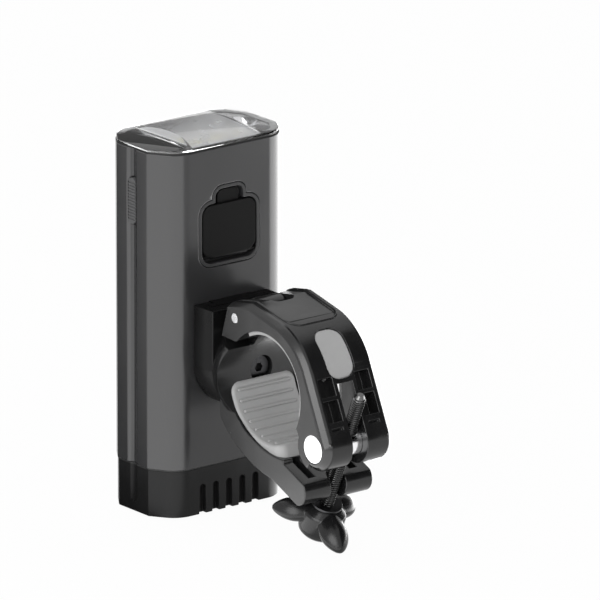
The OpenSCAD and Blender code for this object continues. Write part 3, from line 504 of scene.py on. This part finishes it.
def softened(node_name, passes):
    """Mesh of a CAD node with chosen edges rounded; a pass is a radius, its steps and a test of an edge."""
    source = NODES[node_name].data
    plain = bpy.data.meshes.new("plain")
    plain.from_pydata([v.co for v in source.vertices], [], [p.vertices[:] for p in source.polygons])
    shape = bmesh.new()
    shape.from_mesh(plain)
    bpy.data.meshes.remove(plain)
    bmesh.ops.remove_doubles(shape, verts=shape.verts, dist=WELD * MM)
    bmesh.ops.dissolve_limit(shape, angle_limit=math.radians(FLAT_TURN), verts=shape.verts, edges=shape.edges)
    for radius, steps, test in passes:
        shape.normal_update()
        chosen = [e for e in shape.edges if len(e.link_faces) == 2 and test(e)]
        bmesh.ops.bevel(shape, geom=chosen, offset=radius, offset_type="OFFSET", segments=steps, profile=0.5,
                        affect="EDGES", clamp_overlap=False, loop_slide=False)
    shape.normal_update()
    shape = refill_flats(shape)
    mesh = bpy.data.meshes.new(node_name + "_soft")
    shape.to_mesh(mesh)
    shape.free()
    sharpen(mesh, HARD_TURN)
    return mesh


def cut_out(context, shape, space):
    """Mesh of a shape with a space taken out of it."""
    solid = bpy.data.objects.new("solid", shape)
    hollow = bpy.data.objects.new("hollow", space)
    for piece in (solid, hollow):
        context.scene.collection.objects.link(piece)
    cut = solid.modifiers.new("hollow", "BOOLEAN")
    cut.operation = "DIFFERENCE"
    cut.solver = "EXACT"
    cut.object = hollow
    context.view_layer.update()
    name = shape.name
    mesh = bpy.data.meshes.new_from_object(solid.evaluated_get(context.evaluated_depsgraph_get()))
    for piece in (solid, hollow):
        data = piece.data
        bpy.data.objects.remove(piece)
        bpy.data.meshes.remove(data)
    mesh.name = name
    return mesh


def turn_of(edge):
    """Angle in degrees between the two faces of an edge."""
    return math.degrees(edge.calc_face_angle(0.0))


def middle_of(edge):
    """Middle of an edge in millimetres."""
    return (edge.verts[0].co + edge.verts[1].co) / (2 * MM)


def closed_mesh(name, verts, faces):
    """Mesh of a closed shape, with its faces turned outwards."""
    mesh = bpy.data.meshes.new(name)
    mesh.from_pydata(verts, [], faces)
    shape = bmesh.new()
    shape.from_mesh(mesh)
    bmesh.ops.recalc_face_normals(shape, faces=shape.faces)
    shape.to_mesh(mesh)
    shape.free()
    return mesh


def loft(rings):
    """Closed mesh through rings of points, with a fan at each end."""
    count = len(rings[0])
    verts = [point for ring in rings for point in ring]
    faces = []
    for row in range(len(rings) - 1):
        for i in range(count):
            j = (i + 1) % count
            faces.append((row * count + i, row * count + j, (row + 1) * count + j, (row + 1) * count + i))
    for row, flip in ((0, True), (len(rings) - 1, False)):
        hub = len(verts)
        verts.append(sum((Vector(p) for p in rings[row]), Vector()) / count)
        for i in range(count):
            j = (i + 1) % count
            faces.append((row * count + j, row * count + i, hub) if flip
                         else (row * count + i, row * count + j, hub))
    return verts, faces


def sheet_mesh(name, top, bottom):
    """Closed mesh between two grids of points of the same size."""
    rows, columns = len(top), len(top[0])
    verts = [p for row in top for p in row] + [p for row in bottom for p in row]
    below = rows * columns
    faces = []
    for r in range(rows - 1):
        for c in range(columns - 1):
            near, far = r * columns + c, (r + 1) * columns + c
            faces.append((near, near + 1, far + 1, far))
            faces.append((below + far, below + far + 1, below + near + 1, below + near))
    rim = ([(0, c) for c in range(columns)] + [(r, columns - 1) for r in range(1, rows)]
           + [(rows - 1, c) for c in range(columns - 2, -1, -1)] + [(r, 0) for r in range(rows - 2, 0, -1)])
    for k, (r, c) in enumerate(rim):
        r2, c2 = rim[(k + 1) % len(rim)]
        a, b = r * columns + c, r2 * columns + c2
        faces.append((b, a, below + a, below + b))
    return closed_mesh(name, verts, faces)


def blended(name, parts, voxel, rounds):
    """One smooth skin over several closed shapes that run into each other."""
    verts, faces = [], []
    for part_verts, part_faces in parts:
        faces += [[i + len(verts) for i in face] for face in part_faces]
        verts += part_verts
    rough = bpy.data.meshes.new("rough")
    rough.from_pydata(verts, [], faces)
    holder = bpy.data.objects.new("rough", rough)
    bpy.context.scene.collection.objects.link(holder)
    skin = holder.modifiers.new("skin", "REMESH")
    skin.mode = "VOXEL"
    skin.voxel_size = voxel
    smooth = holder.modifiers.new("smooth", "SMOOTH")
    smooth.factor = 0.5
    smooth.iterations = rounds
    bpy.context.view_layer.update()
    mesh = bpy.data.meshes.new_from_object(holder.evaluated_get(bpy.context.evaluated_depsgraph_get()))
    mesh.name = name
    bpy.data.objects.remove(holder)
    bpy.data.meshes.remove(rough)
    mesh.shade_smooth()
    return mesh


def screw_frame():
    """Frame of the clamp screw: origin on the barrel nut, z up along the screw."""
    return Matrix.Translation(Vector(BARREL) * MM) @ Matrix.Rotation(math.radians(SCREW_LEAN), 4, "X")


# Operators

class HEADLIGHT_OT_stage(bpy.types.Operator):
    """Make the floor, the lights and the camera"""

    bl_idname = "headlight.stage"
    bl_label = "Stage"

    def execute(self, context):
        settings = context.scene.headlight_stage
        self.make_floor(context, settings)
        self.make_sky(context, settings)
        self.make_light(context, "key_light", settings.key, *KEY_LIGHT)
        self.make_light(context, "top_light", settings.fill, *TOP_LIGHT)
        low = CAD_BOX[0].z + CARD_LIFT
        self.make_card(context, "side_flag", 0.0, [(x, y, low) for x, y in SIDE_FLAG])
        self.make_card(context, "near_card", settings.near, [(x, y, low - CARD_STEP) for x, y in NEAR_CARD])
        self.make_card(context, "front_flag", 0.0, self.facing_card(*FRONT_FLAG))
        self.make_card(context, "top_flag", 0.0, self.facing_card(*TOP_FLAG))
        self.make_card(context, "back_flag", BACK_GLOW, self.facing_card(*BACK_FLAG))
        self.make_card(context, "edge_card", settings.edge, self.floor_wedge(*EDGE_CARD, low))
        self.make_card(context, "left_card", settings.left, self.floor_wedge(*LEFT_CARD, low))
        self.make_camera(context, settings)
        context.scene.view_settings.view_transform = "Standard"
        return {"FINISHED"}

    def white_to_eye(self, tree):
        """1 for camera, glossy and transmission rays, which see the plain white studio."""
        path = tree.nodes.new("ShaderNodeLightPath")
        mirrored = combine(tree, "MAXIMUM", path.outputs["Is Camera Ray"], path.outputs["Is Glossy Ray"])
        return combine(tree, "MAXIMUM", mirrored, path.outputs["Is Transmission Ray"])

    def make_floor(self, context, settings):
        """Pale floor that keeps the shadow and is white to the camera."""
        low, half = CAD_BOX[0].z, FLOOR_HALF
        mesh = bpy.data.meshes.new("floor")
        mesh.from_pydata([(-half, -half, low), (half, -half, low), (half, half, low), (-half, half, low)], [],
                         [(0, 1, 2, 3)])
        floor = bpy.data.objects.new("floor", mesh)
        context.scene.collection.objects.link(floor)
        material = bpy.data.materials.new("pale floor")
        material.use_nodes = True
        tree = material.node_tree
        tree.nodes.clear()
        out = tree.nodes.new("ShaderNodeOutputMaterial")
        matt = tree.nodes.new("ShaderNodeBsdfDiffuse")
        matt.inputs["Color"].default_value = (*settings.floor, 1)
        white = tree.nodes.new("ShaderNodeEmission")
        white.inputs["Color"].default_value = (1, 1, 1, 1)
        white.inputs["Strength"].default_value = 1.0
        mix = tree.nodes.new("ShaderNodeMixShader")
        tree.links.new(combine(tree, "MULTIPLY", self.white_to_eye(tree), FLOOR_WHITE), mix.inputs["Fac"])
        tree.links.new(matt.outputs["BSDF"], mix.inputs[1])
        tree.links.new(white.outputs["Emission"], mix.inputs[2])
        tree.links.new(mix.outputs["Shader"], out.inputs["Surface"])
        mesh.materials.append(material)

    def make_sky(self, context, settings):
        """Even studio light, white to the camera."""
        world = bpy.data.worlds.new("studio")
        context.scene.world = world
        world.use_nodes = True
        tree = world.node_tree
        tree.nodes.clear()
        out = tree.nodes.new("ShaderNodeOutputWorld")
        light = tree.nodes.new("ShaderNodeBackground")
        light.inputs["Color"].default_value = (1, 1, 1, 1)
        light.inputs["Strength"].default_value = settings.sky
        white = tree.nodes.new("ShaderNodeBackground")
        white.inputs["Color"].default_value = (1, 1, 1, 1)
        white.inputs["Strength"].default_value = 1.0
        mix = tree.nodes.new("ShaderNodeMixShader")
        tree.links.new(self.white_to_eye(tree), mix.inputs["Fac"])
        tree.links.new(light.outputs["Background"], mix.inputs[1])
        tree.links.new(white.outputs["Background"], mix.inputs[2])
        tree.links.new(mix.outputs["Shader"], out.inputs["Surface"])

    def make_light(self, context, name, power, size, place):
        """Round soft light that faces the headlight."""
        lamp = bpy.data.lights.new(name, "AREA")
        lamp.energy = power
        lamp.shape = "DISK"
        lamp.size = size
        light = bpy.data.objects.new(name, lamp)
        context.scene.collection.objects.link(light)
        light.location = place
        light.rotation_euler = (-light.location).to_track_quat("-Z", "Y").to_euler()

    def facing_card(self, azimuth, elevation, distance, half_width, half_height):
        """Corners of a card that faces the headlight; azimuth 0 is the side of the bar clamp."""
        a, e = math.radians(azimuth), math.radians(elevation)
        out = Vector((math.sin(a) * math.cos(e), -math.cos(a) * math.cos(e), math.sin(e)))
        across = Vector((math.cos(a), math.sin(a), 0.0))
        up = across.cross(out) * -1
        middle = out * distance
        return [middle + across * x * half_width + up * y * half_height
                for x, y in ((-1, -1), (1, -1), (1, 1), (-1, 1))]

    def floor_wedge(self, apex, start, end, low):
        """Corners of a card that lies on the floor and spreads from a corner of the lamp."""
        turns = [math.radians(start + (end - start) * i / 4) for i in range(5)]
        return [(*apex, low)] + [(apex[0] + CARD_REACH * math.sin(t), apex[1] - CARD_REACH * math.cos(t), low)
                                 for t in turns]

    def make_card(self, context, name, strength, corners):
        """A black flag, or a white card of some strength, that only glossy and clear surfaces show."""
        mesh = bpy.data.meshes.new(name)
        mesh.from_pydata([tuple(c) for c in corners], [], [tuple(range(len(corners)))])
        card = bpy.data.objects.new(name, mesh)
        context.scene.collection.objects.link(card)
        material = bpy.data.materials.new(name)
        material.use_nodes = True
        tree = material.node_tree
        tree.nodes.clear()
        out = tree.nodes.new("ShaderNodeOutputMaterial")
        glow = tree.nodes.new("ShaderNodeEmission")
        glow.inputs["Color"].default_value = (1, 1, 1, 1)
        glow.inputs["Strength"].default_value = strength
        tree.links.new(glow.outputs["Emission"], out.inputs["Surface"])
        mesh.materials.append(material)
        card.visible_camera = card.visible_diffuse = card.visible_shadow = False

    def make_camera(self, context, settings):
        """Camera with a long lens, to the left of the clamp and above it."""
        azimuth, elevation = math.radians(CAMERA_TURN), math.radians(CAMERA_RISE)
        camera = bpy.data.cameras.new("camera")
        camera.lens = settings.lens
        camera.sensor_width = 36.0
        back = Vector((math.sin(azimuth) * math.cos(elevation), -math.cos(azimuth) * math.cos(elevation),
                       math.sin(elevation)))
        eye = bpy.data.objects.new("camera", camera)
        context.scene.collection.objects.link(eye)
        distance = VIEW_WIDTH * settings.lens / camera.sensor_width
        eye.location = Vector(CAMERA_AIM) + back * distance
        eye.rotation_euler = (-back).to_track_quat("-Z", "Y").to_euler()
        camera.clip_start = 0.1
        camera.clip_end = 60.0
        context.scene.camera = eye


class HEADLIGHT_OT_lamp(bpy.types.Operator):
    """Finish the lamp's shell, end cap, seals and button"""

    bl_idname = "headlight.lamp"
    bl_label = "Lamp body"

    def execute(self, context):
        look = context.scene.headlight_lamp
        shell = softened("body_shell", [(look.edge, 3, self.shell_edge)])
        weigh_normals(add_piece("body_shell_soft", shell, "lamp", "shell_metal",
                                painted_shell("painted shell", look.shell, 0.22), "body_shell"))
        finish_nodes(moulded("seal rubber", look.seal, 0.6), "cap_seal")
        # the seal's face below the lens is painted pale grey, a painted highlight along the lens rim
        finish_nodes(seal_with_painted_highlight("lens seal", look.seal, (0.62, 0.62, 0.62), 0.45), "lens_seal")
        finish_nodes(moulded("frame plastic", look.rim, 0.35, gloss=0.3), "port_frame")
        finish_nodes(moulded("cover rubber", look.flap, 0.45, 4200.0, gloss=0.06), "port_cover")
        finish_nodes(moulded("button plastic", look.key, 0.4), "power_button")
        round_edges(0.2 * MM, "port_frame", "port_cover")
        round_edges(0.08 * MM, "power_button", segments=2)
        cap = softened("end_cap", [(look.edge, 3, self.cap_edge)])
        weigh_normals(add_piece("end_cap_soft", cap, "lamp", "cap_plastic",
                                moulded("cap plastic", look.cap, 0.36, gloss=0.17), "end_cap"))
        return {"FINISHED"}

    def cap_edge(self, edge):
        """Edges of the cap's foot and of its slots, below the seam and clear of the side grooves."""
        top = max(v.co.z for v in edge.verts) / MM
        groove = abs(middle_of(edge).x) > GROOVE_SIDE and top > GROOVE_FOOT
        long_enough = edge.calc_length() > SHORT_EDGE * MM
        return turn_of(edge) > 40 and top < CAP_SEAM and not groove and long_enough

    def shell_edge(self, edge):
        """Sharp edges on the outside of the shell."""
        return turn_of(edge) > 28 and edge.calc_length() > SHORT_EDGE * MM


class HEADLIGHT_OT_lens(bpy.types.Operator):
    """Finish the lens, the reflector and the emitters below it"""

    bl_idname = "headlight.lens"
    bl_label = "Lens and light"

    def execute(self, context):
        lens = add_piece("lens_cover_shell", self.lens_mesh(context), "lamp", "lens_clear",
                         clear_plastic("clear lens", 0.0, 0.02), "lens_cover")
        lens.data.materials.append(clear_plastic("frosted arch", 0.26, 0.34))
        self.frost_arch(lens.data)
        # the second colour is painted shade on the reflector's faces at the ends that look along the beam
        chrome = plated("reflector chrome", (0.90, 0.90, 0.91), (0.42, 0.42, 0.42), REFLECTOR_MIDDLE * MM)
        board = printed("light board", (0.88, 0.88, 0.87), (0.74, 0.74, 0.73), 900.0)
        phosphor = printed("emitter phosphor", (0.85, 0.80, 0.52), (0.80, 0.74, 0.42), 2500.0)
        finish_nodes(chrome, "reflector")
        finish_nodes(board, "light_board_plate")
        finish_nodes(phosphor, "light_emitters")
        return {"FINISHED"}

    def lens_mesh(self, context):
        """The CAD lens with soft edges, a hair clear of its seal and hollow below its arch."""
        shape = softened("lens_cover", [(LENS_ROUND * MM, 3, self.lens_edge)])
        for vertex in shape.vertices:
            vertex.co.z = max(vertex.co.z, (LENS_LOW + LENS_LIFT) * MM)
        mesh = cut_out(context, shape, self.hollow_mesh())
        sharpen(mesh, 25.0)
        return mesh

    def lens_edge(self, edge):
        """Edges round the outside of the lens, above its seat."""
        return turn_of(edge) > 14 and min(v.co.z for v in edge.verts) > (LENS_LOW + 0.2) * MM

    def hollow_mesh(self):
        """Space below the arch: the arch one wall lower, with slanted ends."""
        radius = LENS_ARCH - LENS_WALL
        centre = LENS_TOP - LENS_ARCH
        reach = math.degrees(math.acos((LENS_LOW - 0.5 - centre) / radius))
        rings = []
        for k in range(49):
            a = math.radians(-reach + 2 * reach * k / 48)
            y, z = LENS_MIDDLE + radius * math.sin(a), centre + radius * math.cos(a)
            share = (z - LENS_LOW) / (LENS_TOP - LENS_LOW)
            half = LENS_FOOT - LENS_SLANT * max(share, 0.0)
            corners = [(-half, z), (half, z), (LENS_FOOT, LENS_LOW - 0.6), (-LENS_FOOT, LENS_LOW - 0.6)]
            rings.append([Vector((across, y, up)) * MM for across, up in corners])
        return closed_mesh("lens hollow", *loft(rings))

    def frost_arch(self, mesh):
        """Gives the underside of the arch its frosted finish."""
        for face in mesh.polygons:
            if face.normal.z < -0.3 and face.center.z > (LENS_LOW + 0.05) * MM:
                face.material_index = 1


class HEADLIGHT_OT_clamp(bpy.types.Operator):
    """Finish the clamp's jaw, arm and cradle"""

    bl_idname = "headlight.clamp"
    bl_label = "Clamp"

    def execute(self, context):
        look = context.scene.headlight_clamp
        plastic = moulded("clamp plastic", look.plastic, 0.22, 5200.0, 0.008 * MM, 0.08, 120.0, 0.1)
        block = moulded("cradle plastic", look.block, 0.30, 5200.0, 0.012 * MM, 0.12, gloss=0.15)
        finish_nodes(block, "cradle", "lamp_rail")
        round_edges(look.edge, "cradle")
        arm = softened("upper_arm", [(2 * look.edge, 4, self.slanted_edge), (0.2 * MM, 3, self.arm_edge)])
        arm = cut_out(context, arm, self.hinge_recess())
        sharpen(arm, HARD_TURN)
        weigh_normals(add_piece("upper_arm_soft", arm, "arm", "clamp_plastic", plastic, "upper_arm"))
        add_piece("arm_panel_bead", self.panel_bead(), "arm", "clamp_plastic", plastic)
        jaw = softened("lower_jaw", [(look.edge, 3, self.jaw_edge)])
        weigh_normals(add_piece("lower_jaw_soft", jaw, "bracket", "clamp_plastic", plastic, "lower_jaw"))
        return {"FINISHED"}

    def hinge_recess(self):
        """Space of the recess in front of the hinge: straight behind, round at its front corners."""
        half, front, back, corner = RECESS_HALF, RECESS_FRONT, RECESS_BACK, RECESS_CORNER
        outline = [(half, back), (-half, back)]
        outline += [(-half + corner * (1 - math.cos(a)), front + corner * (1 - math.sin(a)))
                    for a in (math.pi / 2 * k / 10 for k in range(11))]
        outline += [(-x, y) for x, y in reversed(outline[2:])]
        levels = (RECESS_FLOOR, RECESS_FLOOR + RECESS_HEIGHT)
        rings = [[Vector((x, y, z)) * MM for x, y in outline] for z in levels]
        return closed_mesh("hinge recess", *loft(rings))

    def panel_bead(self):
        """Fine raised bead round the shallow panel on top of the arm."""
        arm = NODES["upper_arm"].data
        skin = BVHTree.FromPolygons([v.co for v in arm.vertices], [f.vertices for f in arm.polygons])
        half, front = PANEL_HALF + BEAD_OUT, PANEL_FRONT - BEAD_OUT
        back, corner = PANEL_BACK, PANEL_CORNER + BEAD_OUT
        path = [(-half, back - (back - front - corner) * k / 30) for k in range(30)]
        path += [(corner * (1 - math.cos(a)) - half, front + corner * (1 - math.sin(a)))
                 for a in (math.pi / 2 * k / 12 for k in range(13))]
        path += [(-half + corner + (2 * half - 2 * corner) * k / 24, front) for k in range(1, 13)]
        path += [(-x, y) for x, y in reversed(path[:-1])]
        points = []
        for x, y in path:
            place, normal, _, _ = skin.ray_cast(Vector((x, y, 40.0)) * MM, Vector((0.0, 0.0, -1.0)))
            if place is None:
                raise RuntimeError("the arm has no surface under its panel's bead")
            points.append((place, normal))
        rings = []
        for k, (place, normal) in enumerate(points):
            ahead, behind = points[min(k + 1, len(points) - 1)][0], points[max(k - 1, 0)][0]
            across = (ahead - behind).normalized().cross(normal).normalized()
            size = 0.05 if k in (0, len(points) - 1) else BEAD_RADIUS
            rings.append([place + (across * math.cos(a) + normal * math.sin(a)) * size * MM
                          for a in (2 * math.pi * i / 10 for i in range(10))])
        mesh = closed_mesh("arm_panel_bead", *loft(rings))
        mesh.shade_smooth()
        return mesh

    def slanted_edge(self, edge):
        """The two edges of the slanted strips along the outside of the arm."""
        strip = any(0.6 < abs(f.normal.x) < 0.8 for f in edge.link_faces)
        return strip and 30 < turn_of(edge) < 60 and edge.calc_length() > 0.3 * MM

    def arm_edge(self, edge):
        """Edges on the outside of the arm, away from the bar and the bores."""
        place = middle_of(edge)
        return turn_of(edge) > 60 and math.hypot(place.y, place.z) > 18.0 and edge.calc_length() > 0.35 * MM

    def jaw_edge(self, edge):
        """Edges on the outside of the jaw and its fork."""
        place = middle_of(edge)
        return turn_of(edge) > 40 and place.y < 12.0 and place.z < -4.0 and edge.calc_length() > 0.35 * MM


class HEADLIGHT_OT_grips(bpy.types.Operator):
    """Finish the rubber pad of the jaw and the liner of the arm"""

    bl_idname = "headlight.grips"
    bl_label = "Rubber grips"

    def execute(self, context):
        look = context.scene.headlight_clamp
        rubber = moulded("grip rubber", look.rubber, 0.62, 3600.0, 0.03 * MM, 0.3, 140.0, 0.05)
        pad = add_piece("jaw_pad_soft", self.pad_mesh(), "bracket", "grip_rubber", rubber, "jaw_pad")
        liner = softened("arm_liner", [(0.5 * MM, 4, self.plug_edge), (0.22 * MM, 3, self.liner_edge)])
        liner_piece = add_piece("arm_liner_soft", liner, "arm", "grip_rubber", rubber, "arm_liner")
        weigh_normals(liner_piece)
        return {"FINISHED"}

    def plug_edge(self, edge):
        """The edge round the face of the plug in the arm's window."""
        place = middle_of(edge)
        return turn_of(edge) > 40 and math.hypot(place.y, place.z) > 20.0

    def liner_edge(self, edge):
        """Edges along the sides of the liner, and at its upper end."""
        place = middle_of(edge)
        return turn_of(edge) > 60 and abs(place.x) > 11.0 and edge.calc_length() > 0.2 * MM

    def pad_mesh(self):
        """Thick pad with round corners, a rounded border and thin ribs across."""
        corner = PAD_CORNER
        length = math.radians(PAD_ENDS[1] - PAD_ENDS[0]) * PAD_FACE
        edge_steps = [0.0, 0.01, 0.05, 0.12, 0.22, 0.36, 0.55, 0.78, 1.0]
        rows = list(edge_steps)
        while rows[-1] < length - PAD_BORDER - PAD_STEP:
            rows.append(rows[-1] + PAD_STEP)
        rows += [length - step for step in reversed(edge_steps)]
        inner = [1.35, 1.7, 1.85, 2.0, 2.15, 2.35, 2.6, 3.2, 5.0, 7.5, 10.0]
        half = [PAD_HALF - step for step in edge_steps + inner]
        columns = [-x for x in half] + [0.0] + list(reversed(half))
        top, bottom = [], []
        for along in rows:
            angle = math.radians(PAD_ENDS[0]) + along / PAD_FACE
            from_end = min(along, length - along)
            narrow = corner - math.sqrt(max(corner ** 2 - max(corner - from_end, 0.0) ** 2, 0.0))
            scale = (PAD_HALF - narrow) / PAD_HALF
            back = self.jaw_reach(angle) - 0.02
            top_row, bottom_row = [], []
            for column in columns:
                x = column * scale
                drop = self.border_drop(x, from_end, back - PAD_FACE)
                face = PAD_FACE + drop - (self.rib_height(x, angle) if drop == 0.0 else 0.0)
                top_row.append(Vector((x, face * math.cos(angle), face * math.sin(angle))) * MM)
                bottom_row.append(Vector((x, back * math.cos(angle), back * math.sin(angle))) * MM)
            top.append(top_row)
            bottom.append(bottom_row)
        mesh = sheet_mesh("jaw_pad_soft", top, bottom)
        sharpen(mesh, 50.0)
        return mesh

    def jaw_reach(self, angle):
        """Distance from the bar axis to the jaw's hollow."""
        along = JAW_CENTRE[0] * math.cos(angle) + JAW_CENTRE[1] * math.sin(angle)
        square = JAW_CENTRE[0] ** 2 + JAW_CENTRE[1] ** 2
        curve = along + math.sqrt(along ** 2 - square + JAW_CURVE ** 2)
        return min(curve, JAW_RING) if angle > math.radians(-35.0) else curve

    def border_drop(self, x, from_end, depth):
        """How far the face falls away inside the rounded border."""
        side = PAD_HALF - abs(x)
        if side < PAD_CORNER and from_end < PAD_CORNER:
            inset = PAD_CORNER - math.hypot(PAD_CORNER - side, PAD_CORNER - from_end)
        else:
            inset = min(side, from_end)
        inset = min(max(inset, 0.0), PAD_BORDER)
        fall = PAD_BORDER - math.sqrt(PAD_BORDER ** 2 - (PAD_BORDER - inset) ** 2)
        return min(fall * 0.9, depth - 0.08) if fall > 1e-6 else 0.0

    def rib_height(self, x, angle):
        """Height of the rib, or depth of the fine groove beside it, at a place on the pad."""
        nearest = min(abs(angle - math.radians(a)) for a in RIB_ANGLES) * PAD_FACE
        past = max(abs(x) - RIB_HALF + RIB_RADIUS, 0.0)
        away = math.hypot(nearest, past)
        if away < RIB_RADIUS:
            return RIB_HEIGHT * min((RIB_RADIUS - away) / 0.14, 1.0)
        return -RIB_GROOVE * max(1.0 - (away - RIB_RADIUS) / 0.5, 0.0)


class HEADLIGHT_OT_hardware(bpy.types.Operator):
    """Finish the pins, nuts, washer and screws"""

    bl_idname = "headlight.hardware"
    bl_label = "Pins and screws"

    def execute(self, context):
        look = context.scene.headlight_clamp
        finish_nodes(metal("polished pin", look.steel, 0.16), "hinge_pin", "barrel_nut")
        black = metal("blackened screw", look.screw, 0.36)
        finish_nodes(black, "swivel_screw", "rail_screws", "cap_screws", "thrust_washer")
        thread = metal("dark steel thread", look.thread, 0.26, strength=0.03)
        add_piece("clamp_screw_thread", self.thread_mesh(), "thumb_screw", "screw_steel", thread,
                  "clamp_screw")
        finish_nodes(metal("zinc", (0.62, 0.62, 0.63), 0.3), "swivel_nut")
        round_edges(0.15 * MM, "hinge_pin", "barrel_nut", "thrust_washer")
        return {"FINISHED"}

    def thread_mesh(self):
        """Rod with a thread that winds round it, and a small point at its end."""
        steps, per_turn = 32, 8
        low = HUB_TOP - 4.0
        count = int((THREAD_TOP - low) / THREAD_PITCH * per_turn)
        place = screw_frame()
        rings = []
        for k in range(count + 1):
            z = low + (THREAD_TOP - low) * k / count
            ring = []
            for i in range(steps):
                phase = (z / THREAD_PITCH - i / steps) % 1.0
                depth = THREAD_DEPTH * min(max(abs(2 * phase - 1) * 1.5 - 0.25, 0.0), 1.0)
                radius = min(SCREW_RADIUS - depth, 1.0 + (THREAD_TOP - z) * 0.6)
                a = 2 * math.pi * i / steps
                ring.append(place @ (Vector((radius * math.cos(a), radius * math.sin(a), z)) * MM))
            rings.append(ring)
        verts, faces = loft(rings)
        mesh = bpy.data.meshes.new("clamp_screw_thread")
        mesh.from_pydata(verts, [], faces)
        sharpen(mesh, 30.0)
        return mesh


class HEADLIGHT_OT_knob(bpy.types.Operator):
    """Finish the three-lobed knob"""

    bl_idname = "headlight.knob"
    bl_label = "Knob"

    def execute(self, context):
        look = context.scene.headlight_clamp
        parts = [self.hub()] + [self.petal(KNOB_TURN + 120.0 * i) for i in range(3)]
        mesh = blended("knob_soft", parts, KNOB_SKIN * MM, 5)
        add_piece("knob_soft", mesh, "thumb_screw", "knob_plastic",
                  moulded("knob plastic", look.knob, 0.24, 5200.0, 0.006 * MM, 0.06, gloss=0.35), "knob")
        return {"FINISHED"}

    def hub(self):
        """Round hub with a cone on top and a domed foot."""
        place = screw_frame()
        rings = []
        for radius, z in reversed(HUB_OUTLINE):
            rings.append([place @ (Vector((radius * math.cos(a), radius * math.sin(a), HUB_TOP + z)) * MM)
                          for a in (2 * math.pi * i / 48 for i in range(48))])
        return loft(rings)

    def petal(self, turn):
        """Lobe like a thick leaf: two flat sides that meet in a ridge, and a blunt tip."""
        place = screw_frame() @ Matrix.Rotation(math.radians(turn), 4, "Z")
        droop = math.radians(LOBE_DROOP)
        rings = []
        for k in range(29):
            t = k / 28
            reach = LOBE_ROOT + LOBE_LENGTH * t
            belly = 0.80 + 0.20 * math.sin(math.pi * min(t / 0.9, 1.0))
            close = belly * math.sqrt(max(1 - max((t - 0.35) / 0.65, 0.0) ** 2.6, 0.03))
            centre = Vector((reach, 0.0, HUB_TOP - LOBE_DOWN - (reach - 5.0) * math.tan(droop)))
            ring = []
            for i in range(32):
                a = 2 * math.pi * i / 32
                power = 1.55 if math.sin(a) > 0 else 1.0
                side = math.copysign(abs(math.cos(a)) ** 1.15, math.cos(a)) * LOBE_HALF * close
                up = math.copysign(abs(math.sin(a)) ** power, math.sin(a)) * LOBE_RISE * close
                point = centre + Vector((up * math.sin(droop), side, up * math.cos(droop)))
                ring.append(place @ (point * MM))
            rings.append(ring)
        return loft(rings)


class HEADLIGHT_OT_inside(bpy.types.Operator):
    """Finish the cells, boards and sockets inside the lamp"""

    bl_idname = "headlight.inside"
    bl_label = "Inside"

    def execute(self, context):
        finish_nodes(metal("sink aluminium", (0.7, 0.7, 0.72), 0.35), "heat_sink")
        finish_nodes(printed("cell wrap", (0.03, 0.12, 0.35), (0.02, 0.09, 0.28), 400.0), "cell_left",
                     "cell_right")
        finish_nodes(moulded("holder plastic", (0.02, 0.02, 0.02), 0.5), "battery_holder", "button_switch")
        finish_nodes(printed("circuit board", (0.01, 0.12, 0.05), (0.02, 0.2, 0.08), 1200.0),
                     "circuit_board_plate")
        finish_nodes(metal("socket steel", (0.72, 0.72, 0.73), 0.25), "charge_socket", "supply_socket")
        return {"FINISHED"}


class HEADLIGHT_PT_panel(bpy.types.Panel):
    """Lists the steps that dress the headlight"""

    bl_idname = "HEADLIGHT_PT_panel"
    bl_label = "Headlight"
    bl_space_type = "VIEW_3D"
    bl_region_type = "UI"
    bl_category = "Headlight"

    def draw(self, context):
        for step in STEPS:
            self.layout.operator(step.bl_idname)


GROUPS = {
    "headlight_lamp": HeadlightLampLook,
    "headlight_clamp": HeadlightClampLook,
    "headlight_stage": HeadlightStage,
}
STEPS = (
    HEADLIGHT_OT_stage,
    HEADLIGHT_OT_lamp,
    HEADLIGHT_OT_lens,
    HEADLIGHT_OT_clamp,
    HEADLIGHT_OT_grips,
    HEADLIGHT_OT_hardware,
    HEADLIGHT_OT_knob,
    HEADLIGHT_OT_inside,
)


def register():
    for name, group in GROUPS.items():
        bpy.utils.register_class(group)
        setattr(bpy.types.Scene, name, PointerProperty(type=group))
    for cls in (*STEPS, HEADLIGHT_PT_panel):
        bpy.utils.register_class(cls)


def unregister():
    for cls in (HEADLIGHT_PT_panel, *reversed(STEPS)):
        bpy.utils.unregister_class(cls)
    for name, group in GROUPS.items():
        delattr(bpy.types.Scene, name)
        bpy.utils.unregister_class(group)


def main():
    register()
    bpy.ops.headlight.stage()
    bpy.ops.headlight.lamp()
    bpy.ops.headlight.lens()
    bpy.ops.headlight.clamp()
    bpy.ops.headlight.grips()
    bpy.ops.headlight.hardware()
    bpy.ops.headlight.knob()
    bpy.ops.headlight.inside()


if __name__ == "__main__":
    main()
